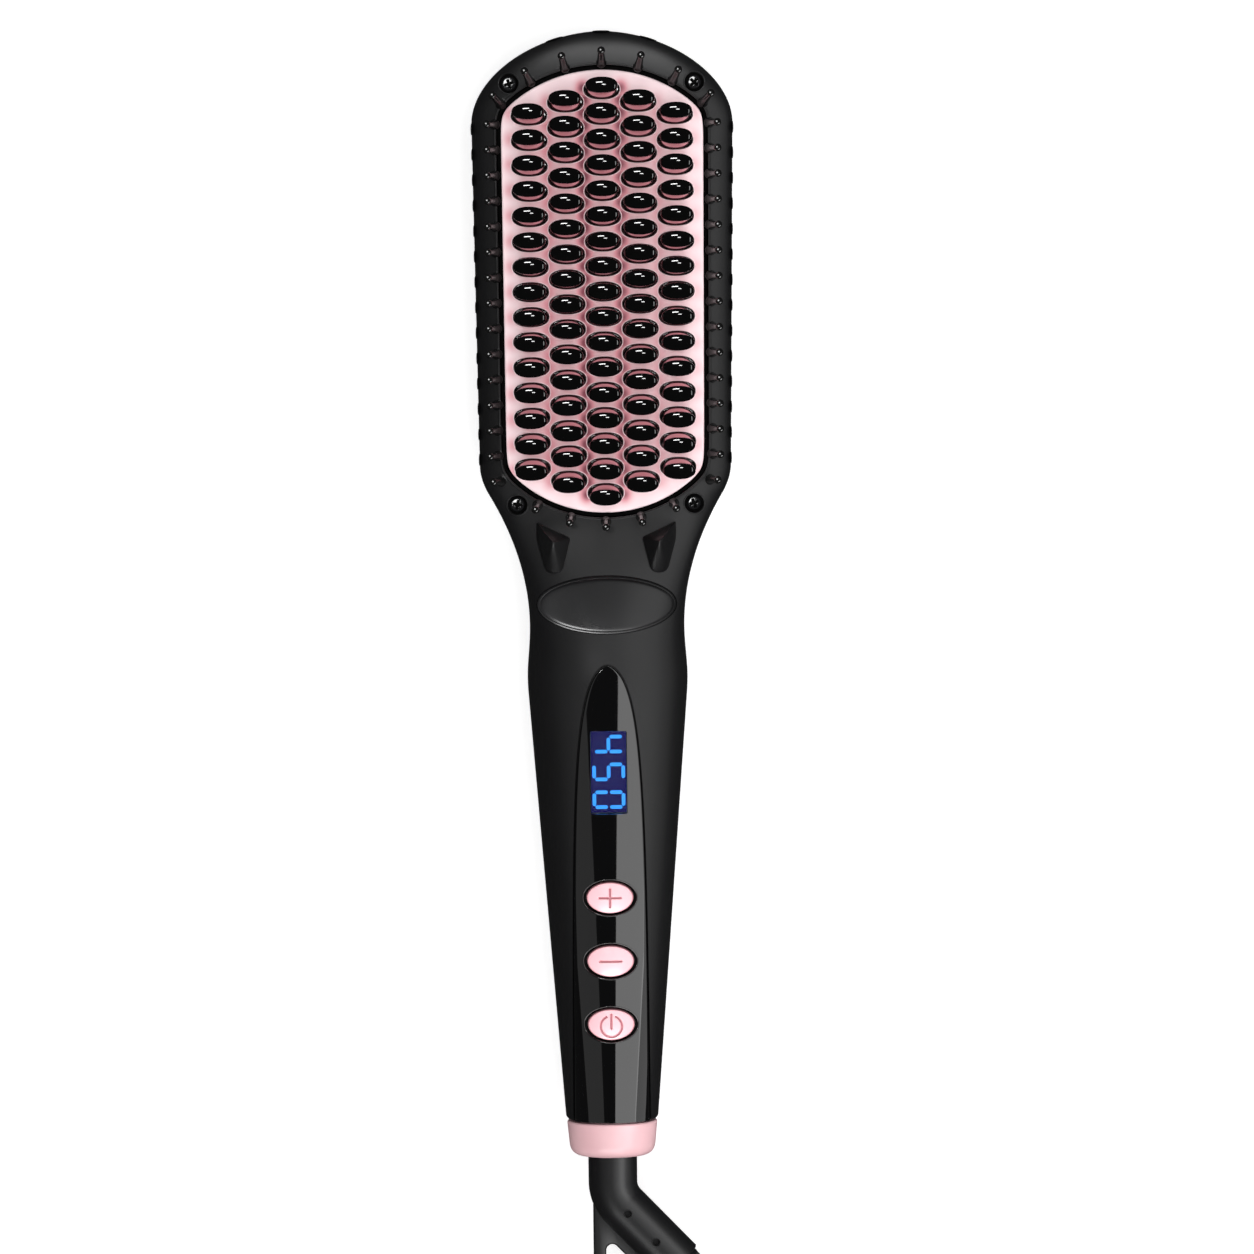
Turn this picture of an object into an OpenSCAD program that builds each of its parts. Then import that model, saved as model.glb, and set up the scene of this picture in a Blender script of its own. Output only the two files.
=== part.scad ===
// Heated straightening brush, lying on its back with its teeth up.
// X runs across the head, +Y towards the head's tip, +Z up out of the heating plate.
// The origin is under the middle of the heating plate, on the flat land of the back.

/* [Heating plate] */
// Length of the heating plate along the brush
plate_l = 107.8; // [100:0.2:116]
// Width of the plate at its tip end
plate_w = 49.4; // [48:0.2:54]
// How much narrower the plate is at its heel end
plate_taper = 1.4; // [0:0.1:2]
// Radius of the plate's tip end
plate_tip_r = 34; // [30:0.5:45]
// Radius of the plate's heel end
plate_heel_r = 32; // [30:0.5:45]
// Height of the plate's crown above the parting plane
plate_rise = 9; // [8.5:0.1:10]
// Radius of the plate's lengthwise crown
crown_r = 900; // [700:20:1500]
// Height of the plate's flange above the parting plane
flange_rise = 2.2; // [2:0.1:2.4]
// Thickness of the plate's flange
flange_t = 1.4; // [1:0.1:1.6]
// How far the flange reaches beyond the plate's edge
flange_w = 1.4; // [1.2:0.1:1.6]
// Gap between the plate's edge and the shell's opening
plate_gap = 1; // [0.8:0.1:1.2]
// Height of the seal's lip in the gap
lip_h = 1.8; // [1.4:0.1:2]
// Thickness of the seal under the rim
seal_t = 0.3; // [0.2:0.05:0.35]

/* [Heater] */
// Width of the pocket under the plate
pocket_w = 42; // [40:0.5:43]
// How much shorter the pocket is than the plate
pocket_in = 17.8; // [16:0.2:20]
// Height of the pocket's roof above the parting plane
roof_rise = 5.8; // [5.4:0.1:6.2]
// Width of one heating element
element_w = 14.6; // [12:0.2:14.8]
// Thickness of a heating element
element_t = 2.3; // [2:0.1:2.5]
// Clear gap between the two elements
element_gap = 0.6; // [0.4:0.1:1]
// Thickness of the mica sheet
mica_t = 0.5; // [0.3:0.1:0.6]
// Thickness of the clamp plate
clamp_t = 1; // [0.8:0.1:1.2]
// Distance between the clamp's screws, across the brush
clamp_screw_w = 38; // [36:0.5:38.5]
// Distance from the pocket's end to the clamp's screws
clamp_screw_in = 8; // [6:0.5:10]
// Width of the insulation pad
pad_w = 32; // [28:0.5:33]
// Thickness of the insulation pad
pad_t = 4; // [3:0.2:5]
// Width of the heat shield
shield_w = 40; // [34:0.5:41]
// Thickness of the heat shield
shield_t = 0.6; // [0.4:0.1:0.8]
// Radius of the heater's wires
wire_r = 0.9; // [0.7:0.05:1]

/* [Teeth] */
// Distance between teeth along the brush
tooth_pitch = 6.2; // [5.8:0.1:7]
// Distance between the columns of teeth
column_pitch = 8.95; // [8.9:0.05:9.3]
// Columns of teeth on each side of the middle one
side_columns = 2; // [1:1:2]
// Clear plate between the last tooth's middle and the plate's end
tooth_margin = 4.2; // [4:0.1:8]
// Half length of a tooth's metal core, across the brush
core_a = 3.6; // [3.2:0.1:3.7]
// Width of a tooth as a part of its length
tooth_ratio = 0.5; // [0.46:0.01:0.6]
// Height of the metal core above the plate
core_h = 5.2; // [4:0.1:7]
// How far a cap overhangs its core
cap_lip = 0.12; // [0.05:0.01:0.2]
// Height of a cap's dome
cap_dome = 1.9; // [1.4:0.1:2.4]
// Height of a cap's straight skirt
cap_skirt = 0.8; // [0.4:0.1:1.5]

/* [Head] */
// Rim of the head beside the plate
side_rim = 7.2; // [6.8:0.1:9]
// Rim of the head beyond the plate's tip end
tip_rim = 9.6; // [9:0.1:12]
// How much narrower the head is at its heel
head_taper = 2.4; // [1:0.1:4]
// Distance from the plate's tip end back to where the head's arch starts
shoulder_in = 12.5; // [10:0.5:15]
// Distance from the plate's heel end back to the head's heel corner
heel_in = 7.9; // [6:0.1:9]
// Height of the head's front above the parting plane
head_rise = 10; // [9.6:0.1:11]
// Depth of the body below the parting plane
back_depth = 15; // [14:0.2:18]
// How much the back's flat land is cut off its round
land_cut = 0.6; // [0.3:0.1:1]
// Wall of the shells
wall = 2.4; // [2:0.1:2.6]

/* [Neck and handle] */
// Length of the neck from the head's heel corner to the waist
neck_l = 36; // [32:0.5:42]
// Width of the body at its waist
waist_w = 37.8; // [36:0.2:40]
// Length from the waist to the bulge of the grip
bulge_l = 13; // [10:0.5:16]
// Width of the grip at its bulge
bulge_w = 39.4; // [38:0.2:42]
// Height of the grip's front above the parting plane at its bulge
bulge_rise = 15; // [14.5:0.1:16]
// Length of the grip from its bulge to the collar
grip_l = 108.1; // [106:0.5:116]
// Diameter of the grip's round end
end_d = 22.6; // [22:0.1:25]
// Softness of the outline's corners
corner_soft = 3; // [1:0.5:4]

/* [Edge pins] */
// Radius of a pin at its foot
pin_foot_r = 1.15; // [1:0.05:1.3]
// Radius of a pin under its ball
pin_neck_r = 0.75; // [0.6:0.05:0.9]
// Radius of a pin's ball tip
pin_ball_r = 0.95; // [0.9:0.05:1.1]
// Length of a pin above the rim
pin_l = 7; // [5:0.1:8]
// Depth of a pin's root in the rim
pin_root = 1; // [0.8:0.05:1.1]
// Distance from the opening to the pins' feet
pin_inset = 1.25; // [1.2:0.05:1.6]
// Outward lean of the pins beside the plate
side_lean = 17; // [10:1:20]
// Outward lean of the pins round the tip
tip_lean = 26; // [15:1:30]
// Lean of the pins at the heel towards the handle
heel_lean = 10; // [5:1:15]
// Angle between the pins round the tip and the heel
pin_step = 14.5; // [14:0.5:16]

/* [Screws] */
// Radius of a shell screw's shank
screw_r = 1; // [0.9:0.05:1.2]
// Radius of a shell screw's head
screw_head_r = 2.1; // [1.9:0.05:2.2]
// Height of a shell screw's head
screw_head_h = 1.3; // [1:0.1:1.5]
// Length of a shell screw under its head
screw_l = 13; // [12:0.5:14]
// Radius of the counterbores that the screw heads lie in
counterbore_r = 2.5; // [2.4:0.05:2.6]
// Radius of the screw bosses
boss_r = 3.2; // [3:0.1:3.4]
// Distance from the head's edge in to the screws
screw_in = 5.7; // [5.5:0.1:6.2]
// Distance from the plate's tip end back to the screws there
tip_screw_in = 3.2; // [2:0.2:5]
// Distance from the plate's heel end up to the screws there
heel_screw_in = 2.1; // [1:0.1:3]
// Radius of the posts that carry the plate and the heat shield
post_r = 1.8; // [1.5:0.1:2]

/* [Fins and badge] */
// Height of a guard fin above the neck
fin_h = 6.5; // [4:0.5:8]
// Distance from the middle line to a fin's apex
fin_x = 12.4; // [11:0.1:13]
// Distance from the plate's heel end to a fin's apex
fin_out = 7.3; // [7:0.1:8]
// Half length of the oval badge pad, across the neck
badge_a = 17; // [15:0.2:17.4]
// Half width of the badge pad
badge_b = 7; // [6:0.1:7.4]
// Distance from the plate's heel end to the badge's middle
badge_out = 22.3; // [22:0.1:24]
// How far the badge stands proud of the neck
badge_proud = 0.9; // [0.4:0.1:1.2]
// Depth of the badge's recess
badge_sink = 0.8; // [0.5:0.1:1]

/* [Control panel] */
// Width of the glossy panel at the collar
panel_w = 18.6; // [17.8:0.2:19.4]
// Distance from the bulge up to the panel's nose
panel_nose = 4.1; // [2:0.1:6]
// Length over which the panel's nose widens
nose_l = 10.6; // [8:0.2:14]
// Depth of the recess that the panel lies in
panel_sink = 1.2; // [1:0.1:1.4]
// How far the panel stands proud of the handle
panel_proud = 0.25; // [0.1:0.05:0.4]
// Length of the display along the handle
display_l = 20.3; // [18:0.1:22]
// Width of the display
display_w = 9; // [8:0.1:10]
// Distance from the bulge to the display's middle
display_out = 22; // [20:0.5:24]
// Height of a display figure, across the handle
digit_h = 7.2; // [6:0.1:7.4]
// Width of a display figure, along the handle
digit_w = 3.9; // [3:0.1:4.2]
// Distance between the display's figures
digit_pitch = 6.7; // [6:0.1:7]
// Width of a lit bar
bar_w = 0.8; // [0.6:0.05:1]

/* [Buttons] */
// Half length of a button, across the handle
button_a = 5.7; // [5:0.1:6]
// Half width of a button
button_b = 3.8; // [3.4:0.1:4.2]
// Distance between the buttons
button_pitch = 15.6; // [15:0.1:18]
// Distance from the collar to the power button
button_out = 24.3; // [23.5:0.1:26]
// How far a button can be pressed
button_travel = 0.6; // [0.3:0.1:0.8]
// Clear gap round a button
button_gap = 0.6; // [0.4:0.05:0.7]
// How far a button's flange reaches beyond its cap
button_flange = 1.1; // [1:0.05:1.2]
// Depth of a button's flange under the panel's crest
flange_deep = 3; // [2.9:0.1:3.4]
// Side of a switch's square body
switch_w = 6; // [5:0.1:6.4]
// Height of a switch's body
switch_h = 3.5; // [3:0.1:4]
// Radius of a switch's plunger
plunger_r = 1.7; // [1.4:0.05:1.8]

/* [Circuit board] */
// Width of the circuit board
pcb_w = 14; // [12:0.2:14.6]
// Thickness of the circuit board
pcb_t = 1.6; // [1:0.1:2]
// Distance from the last button to the board's end
pcb_tail = 7; // [5:0.1:7.4]

/* [Collar and swivel] */
// Length of the pink collar
collar_l = 9.1; // [8.5:0.1:10.5]
// Radius of the collar where it meets the grip
collar_r = 11.1; // [10.9:0.1:11.6]
// How much the collar narrows over its length
collar_draft = 0.8; // [0.4:0.1:1]
// Radius of the collar's rounded end edge
collar_edge = 3; // [2:0.1:3.4]
// Radius of the swivel tube
tube_r = 6; // [5.8:0.1:6.4]
// Radius of the spigot that turns in the bush
spigot_r = 5; // [4.6:0.1:5.2]
// Length of the spigot inside the handle
spigot_l = 17; // [16:0.2:18]
// Running clearance of the spigot in its bush
spigot_gap = 0.05; // [0.03:0.01:0.1]
// Length of the swivel bush
bush_l = 6.4; // [5.5:0.1:6.8]
// Radius of the bush
bush_r = 8.2; // [8:0.05:8.3]
// Bore through the elbow and the cord guard
cord_bore_r = 3.3; // [2.8:0.1:3.4]
// Distance from the collar's end to the elbow's knee
knee_out = 10.3; // [9.5:0.1:12]
// Angle of the elbow's bend
bend = 44; // [30:1:50]
// Radius of the elbow's bend, at the tube's middle
bend_r = 9; // [8:0.1:10.5]
// How far the bent stretch stands out of the tube
knee_swell = 0.06; // [0.05:0.01:0.1]
// Length of the elbow from its knee to the cord guard
arm_l = 23; // [22:0.2:26]
// Radius of the two small holes in the elbow
pit_r = 0.9; // [0.6:0.05:1.1]
// Width of the hanging loop's strip
loop_w = 3.15; // [2.6:0.05:3.6]
// Thickness of the hanging loop
loop_t = 3.4; // [2.8:0.1:4]
// Length of the hanging loop from the elbow's knee
loop_l = 31.7; // [30:0.1:32]
// Width of the loop's frame beside the arm
loop_web = 2; // [1.5:0.1:2.4]

/* [Cord guard] */
// Radius of the cord guard's ribs
rib_r = 5.2; // [5:0.1:5.6]
// Radius of the tube between the ribs
guard_core_r = 4.1; // [4:0.05:4.4]
// Distance between the ribs
rib_pitch = 3; // [2.8:0.1:3.4]
// Thickness of a rib
rib_t = 1.5; // [1.2:0.1:1.8]
// Rows of slots
rib_rows = 5; // [4:1:7]
// Width of the webs that join the ribs
web_w = 2.4; // [1.6:0.1:3]

/* [Hidden] */
$fn = 64;
eps = 0.01;
seat_gap = 0.1;
slide_gap = 0.05;
air_gap = 0.3;

// Heights
part_z = back_depth;
crown_z = part_z + plate_rise - crown_r;
flange_z = part_z + flange_rise;
flange_top = flange_z + flange_t;

// Outline stations along the brush
plate_tip_y = plate_l / 2;
plate_heel_y = -plate_l / 2;
tip_y = plate_tip_y + tip_rim;
shoulder_y = plate_tip_y - shoulder_in;
heel_y = plate_heel_y + heel_in;
waist_y = heel_y - neck_l;
bulge_y = waist_y - bulge_l;
end_y = bulge_y - grip_l;
neck_top_y = plate_heel_y - 2;
head_w = plate_w + 2 * side_rim;
heel_w = head_w - head_taper;
tip_arc_y = plate_tip_y - plate_tip_r;
heel_arc_y = plate_heel_y + plate_heel_r;

// How square the cross-section is at the head, the bulge and the round end
head_square = 3;
bulge_square = 2.2;
end_square = 2;
arch_plan = 1.85;
arch_side = 2.6;

// Lengthwise and crosswise divisions of the shells
tip_stations = 8;
head_stations = 4;
neck_stations = 8;
bulge_stations = 3;
grip_stations = 5;
section_steps = 24;

function mix(a, b, t) = a + (b - a) * t;
function clamp01(t) = min(1, max(0, t));
function ease(t) = let(c = clamp01(t)) c * c * (3 - 2 * c);
function arch(u, p) = pow(max(0, 1 - pow(clamp01(u), p)), 1 / p);
function mean(v) = v * [for (i = v) 1] / len(v);

function tip_u(y, inset) = (y - shoulder_y) / (tip_y - inset - shoulder_y);
function crown_drop(y) = y * y / (2 * crown_r);

// Half width of the body before its corners are softened
function flank(y) =
    y > heel_y ? mix(heel_w, head_w, (y - heel_y) / (shoulder_y - heel_y)) / 2 :
    y > waist_y ? mix(waist_w, heel_w, pow((y - waist_y) / neck_l, 2)) / 2 :
    y > bulge_y ? mix(bulge_w, waist_w, ease((y - bulge_y) / bulge_l)) / 2 :
    mix(end_d, bulge_w, (y - end_y) / grip_l) / 2;
function soft_flank(y) = mean([for (k = [-3:3]) flank(y + k * corner_soft / 3)]);
function half_w(y, inset) =
    y > shoulder_y ? (head_w / 2 - inset) * arch(tip_u(y, inset), arch_plan) :
    y > end_y + corner_soft ? soft_flank(y) - inset :
    flank(y) - inset;

// Height of the front above the parting plane, and depth of the back below it
function rise_line(y) =
    y > neck_top_y ? head_rise - crown_drop(y) :
    y > bulge_y ? mix(bulge_rise, head_rise - crown_drop(neck_top_y),
                      ease((y - bulge_y) / (neck_top_y - bulge_y))) :
    mix(end_d / 2, bulge_rise, (y - end_y) / grip_l);
function drop_line(y) =
    y > bulge_y ? back_depth + land_cut :
    mix(end_d / 2, back_depth + land_cut, (y - end_y) / grip_l);
function height(y, inset, side) =
    ((side > 0 ? rise_line(y) : drop_line(y)) - inset)
    * (y > shoulder_y ? arch(tip_u(y, inset), arch_side) : 1);
function square_at(y) =
    y > heel_y ? head_square :
    y > bulge_y ? mix(bulge_square, head_square, ease((y - bulge_y) / (heel_y - bulge_y))) :
    mix(end_square, bulge_square, (y - end_y) / grip_l);

// One half of a cross-section, from +X over the crest to -X
function section(y, inset, side) =
    let(w = half_w(y, inset), h = height(y, inset, side), p = 2 / square_at(y))
    [for (k = [0:section_steps])
        let(a = 180 * k / section_steps, c = cos(a), s = max(0, sin(a)))
        [w * sign(c) * pow(abs(c), p), y, part_z + side * h * pow(s, p)]];

// Stations from the tip to the grip's end, closest together round the tip
function stations(inset) = concat(
    [for (i = [0:tip_stations - 1])
        mix(tip_y - inset - 0.02, shoulder_y, 1 - cos(90 * i / tip_stations))],
    [for (i = [0:head_stations - 1]) mix(shoulder_y, heel_y + corner_soft, i / head_stations)],
    [for (i = [0:neck_stations - 1]) mix(heel_y + corner_soft, waist_y, pow(i / neck_stations, 1.2))],
    [for (i = [0:bulge_stations - 1]) mix(waist_y, bulge_y - corner_soft, i / bulge_stations)],
    [for (i = [0:grip_stations]) mix(bulge_y - corner_soft, end_y, i / grip_stations)]);

// Half of the body's hollow skin, front (side 1) or rear (side -1), open at the grip's end
module skin_form(side) {
    outer = [for (y = stations(0)) section(y, 0, side)];
    inner = [for (y = stations(wall)) section(y, wall, side)];
    m = len(outer);
    n = section_steps + 1;
    points = [for (rows = [outer, inner]) for (row = rows) for (p = row) p];
    // Number of point k of row j, on the outer (s = 0) or the inner (s = 1) surface
    function at(s, j, k) = (s * m + j) * n + k;
    outside = [for (j = [0:m - 2]) for (k = [0:n - 2])
        each [[at(0, j, k), at(0, j + 1, k), at(0, j + 1, k + 1)],
              [at(0, j, k), at(0, j + 1, k + 1), at(0, j, k + 1)]]];
    inside = [for (j = [0:m - 2]) for (k = [0:n - 2])
        each [[at(1, j, k), at(1, j + 1, k + 1), at(1, j + 1, k)],
              [at(1, j, k), at(1, j, k + 1), at(1, j + 1, k + 1)]]];
    rims = [for (j = [0:m - 2])
        each [[at(1, j, 0), at(1, j + 1, 0), at(0, j + 1, 0), at(0, j, 0)],
              [at(0, j, n - 1), at(0, j + 1, n - 1), at(1, j + 1, n - 1), at(1, j, n - 1)]]];
    tip = [[for (k = [0:n - 1]) at(0, 0, k)],
           [for (k = [n - 1:-1:0]) at(1, 0, k)],
           [at(0, 0, n - 1), at(1, 0, n - 1), at(1, 0, 0), at(0, 0, 0)]];
    end = [for (k = [0:n - 2])
        [at(0, m - 1, k + 1), at(0, m - 1, k), at(1, m - 1, k), at(1, m - 1, k + 1)]];
    faces = concat(outside, inside, rims, tip, end);
    polyhedron(points = points,
               faces = side > 0 ? faces : [for (f = faces) [for (i = [len(f) - 1:-1:0]) f[i]]]);
}

// Closed solid through a row of equal loops
module loft(rows) {
    n = len(rows[0]);
    m = len(rows);
    points = [for (row = rows) for (p = row) p];
    sides = [for (j = [0:m - 2]) for (k = [0:n - 1])
        let(a = j * n + k, b = j * n + (k + 1) % n, c = a + n, d = b + n)
        each [[a, d, b], [a, c, d]]];
    caps = [[for (k = [0:n - 1]) k], [for (k = [n - 1:-1:0]) (m - 1) * n + k]];
    polyhedron(points = points, faces = concat(sides, caps));
}

// Height of the front's (side 1) or back's (side -1) surface over a place, moved in by inset
function skin_z(x, y, inset = 0, side = 1) =
    let(w = half_w(y, inset), n = square_at(y))
    part_z + side * height(y, inset, side) * pow(max(0, 1 - pow(min(1, abs(x) / w), n)), 1 / n);

// Piece of the front's skin between two depths; places holds y and half width from +Y to -Y
module skin_strip(places, top, bottom, steps = 8) {
    across = [for (k = [0:steps]) 1 - 2 * k / steps];
    loft([for (p = places) concat(
        [for (u = across) [u * p[1], p[0], skin_z(u * p[1], p[0], top)]],
        [for (u = across) [-u * p[1], p[0], skin_z(u * p[1], p[0], bottom)]])]);
}

function oval(a, b, n = 32) = [for (i = [0:n - 1]) [a * cos(360 * i / n), b * sin(360 * i / n)]];

// Outline of the heating plate, grown by g
module plate_outline(g = 0) {
    w1 = plate_w / 2 + g;
    w2 = (plate_w - plate_taper) / 2 + g;
    intersection() {
        polygon([[w2, plate_heel_y - g], [w1, plate_tip_y + g],
                 [-w1, plate_tip_y + g], [-w2, plate_heel_y - g]]);
        union() {
            translate([0, tip_arc_y])
                circle(r = plate_tip_r + g, $fn = 200);
            translate([-w1 - 1, plate_heel_y - g - 1])
                square([2 * w1 + 2, tip_arc_y - plate_heel_y + g + 1]);
        }
        union() {
            translate([0, heel_arc_y])
                circle(r = plate_heel_r + g, $fn = 200);
            translate([-w1 - 1, heel_arc_y])
                square([2 * w1 + 2, plate_tip_y + g + 1 - heel_arc_y]);
        }
    }
}

module plate_prism(g, z0, z1) {
    translate([0, 0, z0])
        linear_extrude(z1 - z0)
            plate_outline(g);
}

// Places a tooth's frame on the plate's crown, square to it
module on_crown(x, y) {
    translate([0, 0, crown_z])
        rotate([-asin(y / crown_r), 0, 0])
            translate([x, 0, crown_r])
                children();
}

cap_a = core_a + cap_lip;
dome_r = (cap_a * cap_a + cap_dome * cap_dome) / (2 * cap_dome);
half_rows = floor((plate_l / 2 - tooth_margin) / tooth_pitch);
tooth_places = [for (j = [-side_columns:side_columns])
    let(rows = 2 * half_rows + 1 - abs(j))
    for (i = [0:rows - 1])
        [j * column_pitch, (i - (rows - 1) / 2) * tooth_pitch]];

module at_teeth() {
    for (p = tooth_places)
        on_crown(p[0], p[1])
            children();
}

// Pins: foot on the rim, direction that they lean in and how far
side_pins = floor((shoulder_y - heel_y) / tooth_pitch) + 1;
pin_first_y = shoulder_y - 0.6;
tip_pin_r = plate_tip_r + plate_gap + pin_inset - 0.45;
heel_pin_r = plate_heel_r + plate_gap + pin_inset;
pin_flank = (plate_w - plate_taper / 2) / 2 + plate_gap + pin_inset - 0.4;
pin_feet = concat(
    [for (s = [-1, 1]) for (i = [0:side_pins - 1])
        let(y = pin_first_y - i * tooth_pitch, in = i == side_pins - 1 ? 0.7 : 0)
        [s * (pin_flank - in), y, s > 0 ? 0 : 180, side_lean]],
    [for (k = [-3:3])
        [tip_pin_r * sin(k * pin_step), tip_arc_y + tip_pin_r * cos(k * pin_step),
         90 - k * pin_step, tip_lean]],
    [for (k = [-2:2])
        [heel_pin_r * sin(k * pin_step), heel_arc_y - heel_pin_r * cos(k * pin_step),
         -90 + k * pin_step, heel_lean]]);

module at_pins() {
    for (p = pin_feet)
        translate([p[0], p[1], skin_z(p[0], p[1])])
            rotate([0, 0, p[2]])
                rotate([0, p[3], 0])
                    children();
}

// Screws
head_screw_places = [for (y = [plate_tip_y - tip_screw_in, plate_heel_y + heel_screw_in])
    for (s = [-1, 1])
        [s * (half_w(y, 0) - screw_in), y]];
function screw_seat(p) = skin_z(p[0], p[1]) - 2;

module cross_screw(shank_r, head_r, head_h, length) {
    difference() {
        union() {
            cylinder(r = head_r, h = head_h);
            translate([0, 0, -length])
                cylinder(r = shank_r, h = length + eps);
        }
        for (a = [0, 90])
            rotate([0, 0, a + 20])
                translate([-head_r * 0.62, -head_r * 0.14, head_h * 0.35])
                    cube([head_r * 1.24, head_r * 0.28, head_h]);
    }
}

// The deck is the front's crest line along the grip: y = 0 at the bulge, z = 0 on the crest
deck_tilt = atan((bulge_rise - end_d / 2) / grip_l);
deck_l = grip_l / cos(deck_tilt);

module deck() {
    translate([0, bulge_y, part_z + bulge_rise])
        rotate([deck_tilt, 0, 0])
            children();
}

// Half width of the panel at a distance t from its nose, and its places along the grip
function panel_half(t) = panel_w / 2 * (1 - exp(-pow(t / nose_l, 0.63)));
panel_l = grip_l + panel_nose;
panel_run = [for (i = [0:16]) mix(0.05, panel_l, pow(i / 16, 2.2))];
function panel_places(g, past) = concat(
    [for (t = panel_run) if (t < panel_l) [bulge_y + panel_nose + g - t, panel_half(t) + g]],
    [[end_y - past, panel_half(panel_l) + g]]);
badge_places = [for (i = [0:20])
    let(a = mix(4, 176, i / 20))
    [cos(a), sin(a)]];
function pad_places(g) = [for (v = badge_places)
    [plate_heel_y - badge_out + (badge_b + g) * v[0], (badge_a + g) * v[1]]];

button_ys = [for (i = [0:2]) button_out + (2 - i) * button_pitch - deck_l];
switch_top = -(flange_deep + 0.8 + button_travel + 0.4);
pcb_top = switch_top - switch_h;
pcb_head = -display_out + display_l / 2 + 2;
pcb_end = button_ys[2] - pcb_tail;
pcb_boss_ys = [(-display_out - display_l / 2 + button_ys[0] + switch_w / 2) / 2,
               (button_ys[1] + button_ys[2]) / 2];
pcb_boss_r = 2.2;
terminal_l = 4;
terminal_h = 4;
handle_screw_ys = [bulge_y + 3, bulge_y + pcb_end * cos(deck_tilt) - 2.7];
handle_boss_r = 2.4;
handle_seat = 6;
module_top = -panel_sink - 1.1;

// Swivel, seen along the handle: all in world y
collar_end_y = end_y - collar_l;
collar_floor = 2.2;
bush_y = collar_end_y + collar_floor;
clip_y = bush_y + bush_l + 0.2;
clip_t = 1;
shoulder_gap_y = bush_y - air_gap;
spigot_end_y = bush_y + spigot_l;
knee_y = collar_end_y - knee_out;
ring_ys = [spigot_end_y - 6.5, spigot_end_y - 3];
ring_out = 0.9;
ring_l = 1.6;
bend_in = bend_r * tan(bend / 2);
knee_lap = 0.5;
passage_r = cord_bore_r + 0.3;
pit_places = [5.2, 15.1];
// Holes in the arm's back: place along the arm, angle round it and radius
back_pits = [[17, -5, 0.7], [16.2, 38, 0.5]];
loop_edge = -(tube_r - 1.05);
knee_hole_r = 1.5;
end_hole_r = 2;
foot_hole_r = 1.2;
pit_deep = 1.2;
block_top = -(spigot_r + ring_out + 0.7);
block_y = ring_ys[0] - 0.7;
block_l = 5;
block_w = 6.4;
block_t = 1.6;
mains_wire_r = 0.8;

// Turns the Z axis to run along -Y from the handle's axis at y
module down_handle(y) {
    translate([0, y, part_z])
        rotate([90, 0, 0])
            children();
}

// The frame of the elbow's arm: z runs out along the arm from the knee
module arm() {
    translate([0, knee_y, part_z])
        rotate([0, 0, bend])
            rotate([90, 0, 0])
                children();
}

// Straight round rod between two points
module rod(p, q, r) {
    v = q - p;
    len_v = norm(v);
    translate(p)
        rotate([0, acos(v[2] / len_v), atan2(v[1], v[0])])
            cylinder(r = r, h = len_v);
}

// Heater stack under the plate
pocket_l = plate_l - pocket_in;
pocket_roof = part_z + roof_rise;
element_z = pocket_roof - element_t;
mica_z = element_z - mica_t;
clamp_z = mica_z - clamp_t;
pad_z = clamp_z - pad_t;
shield_z = pad_z - shield_t;
clamp_screw_places = [for (sx = [-1, 1]) for (sy = [-1, 1])
    [sx * clamp_screw_w / 2, sy * (pocket_l / 2 - clamp_screw_in)]];
clamp_boss_r = 2.2;
clamp_shank_r = 0.8;
clamp_head_r = 1.7;
clamp_head_h = 1;
clamp_w = clamp_screw_w - 10;
bridge_w = pocket_w - 1;
mica_w = 2 * element_w + element_gap + 1.2;
sensor_y = -pocket_l / 2 + 14;
sensor_x = 1.8;
fuse_r = 1.3;
fuse_l = 11;
thermistor_r = 1.1;
thermistor_l = 5;

// Shells

// One guard fin: three feet below the surface and an apex, steep towards the head
module fin() {
    top = [fin_x, plate_heel_y - fin_out];
    feet = [top + [4.4, 5.1], top + [-3.4, 0.2], top + [0.1, -7.2]];
    z_top = skin_z(top[0], top[1]) + fin_h;
    z_low = skin_z(top[0], top[1]) - 1.6;
    grow = (z_top - z_low) / fin_h;
    low = [for (f = feet) let(v = top + (f - top) * grow) [v[0], v[1], z_low]];
    polyhedron(points = concat(low, [[top[0], top[1], z_top]]),
               faces = [[0, 1, 2], [1, 0, 3], [2, 1, 3], [0, 2, 3]]);
}

// Height of a boss whose top stays inside the wall
function boss_top(x, y, r) = min([for (a = [0:30:330]) skin_z(x + r * cos(a), y + r * sin(a))]) - 0.5;

module front_bosses() {
    for (p = head_screw_places)
        translate([p[0], p[1], part_z])
            cylinder(r = boss_r, h = boss_top(p[0], p[1], boss_r) - part_z);
    deck()
        for (y = pcb_boss_ys)
            translate([0, y, pcb_top])
                cylinder(r = pcb_boss_r, h = -pcb_top - panel_sink - 0.5);
    for (y = handle_screw_ys)
        translate([0, y, part_z])
            cylinder(r = handle_boss_r, h = boss_top(0, y, handle_boss_r) - part_z - panel_sink);
}

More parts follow.
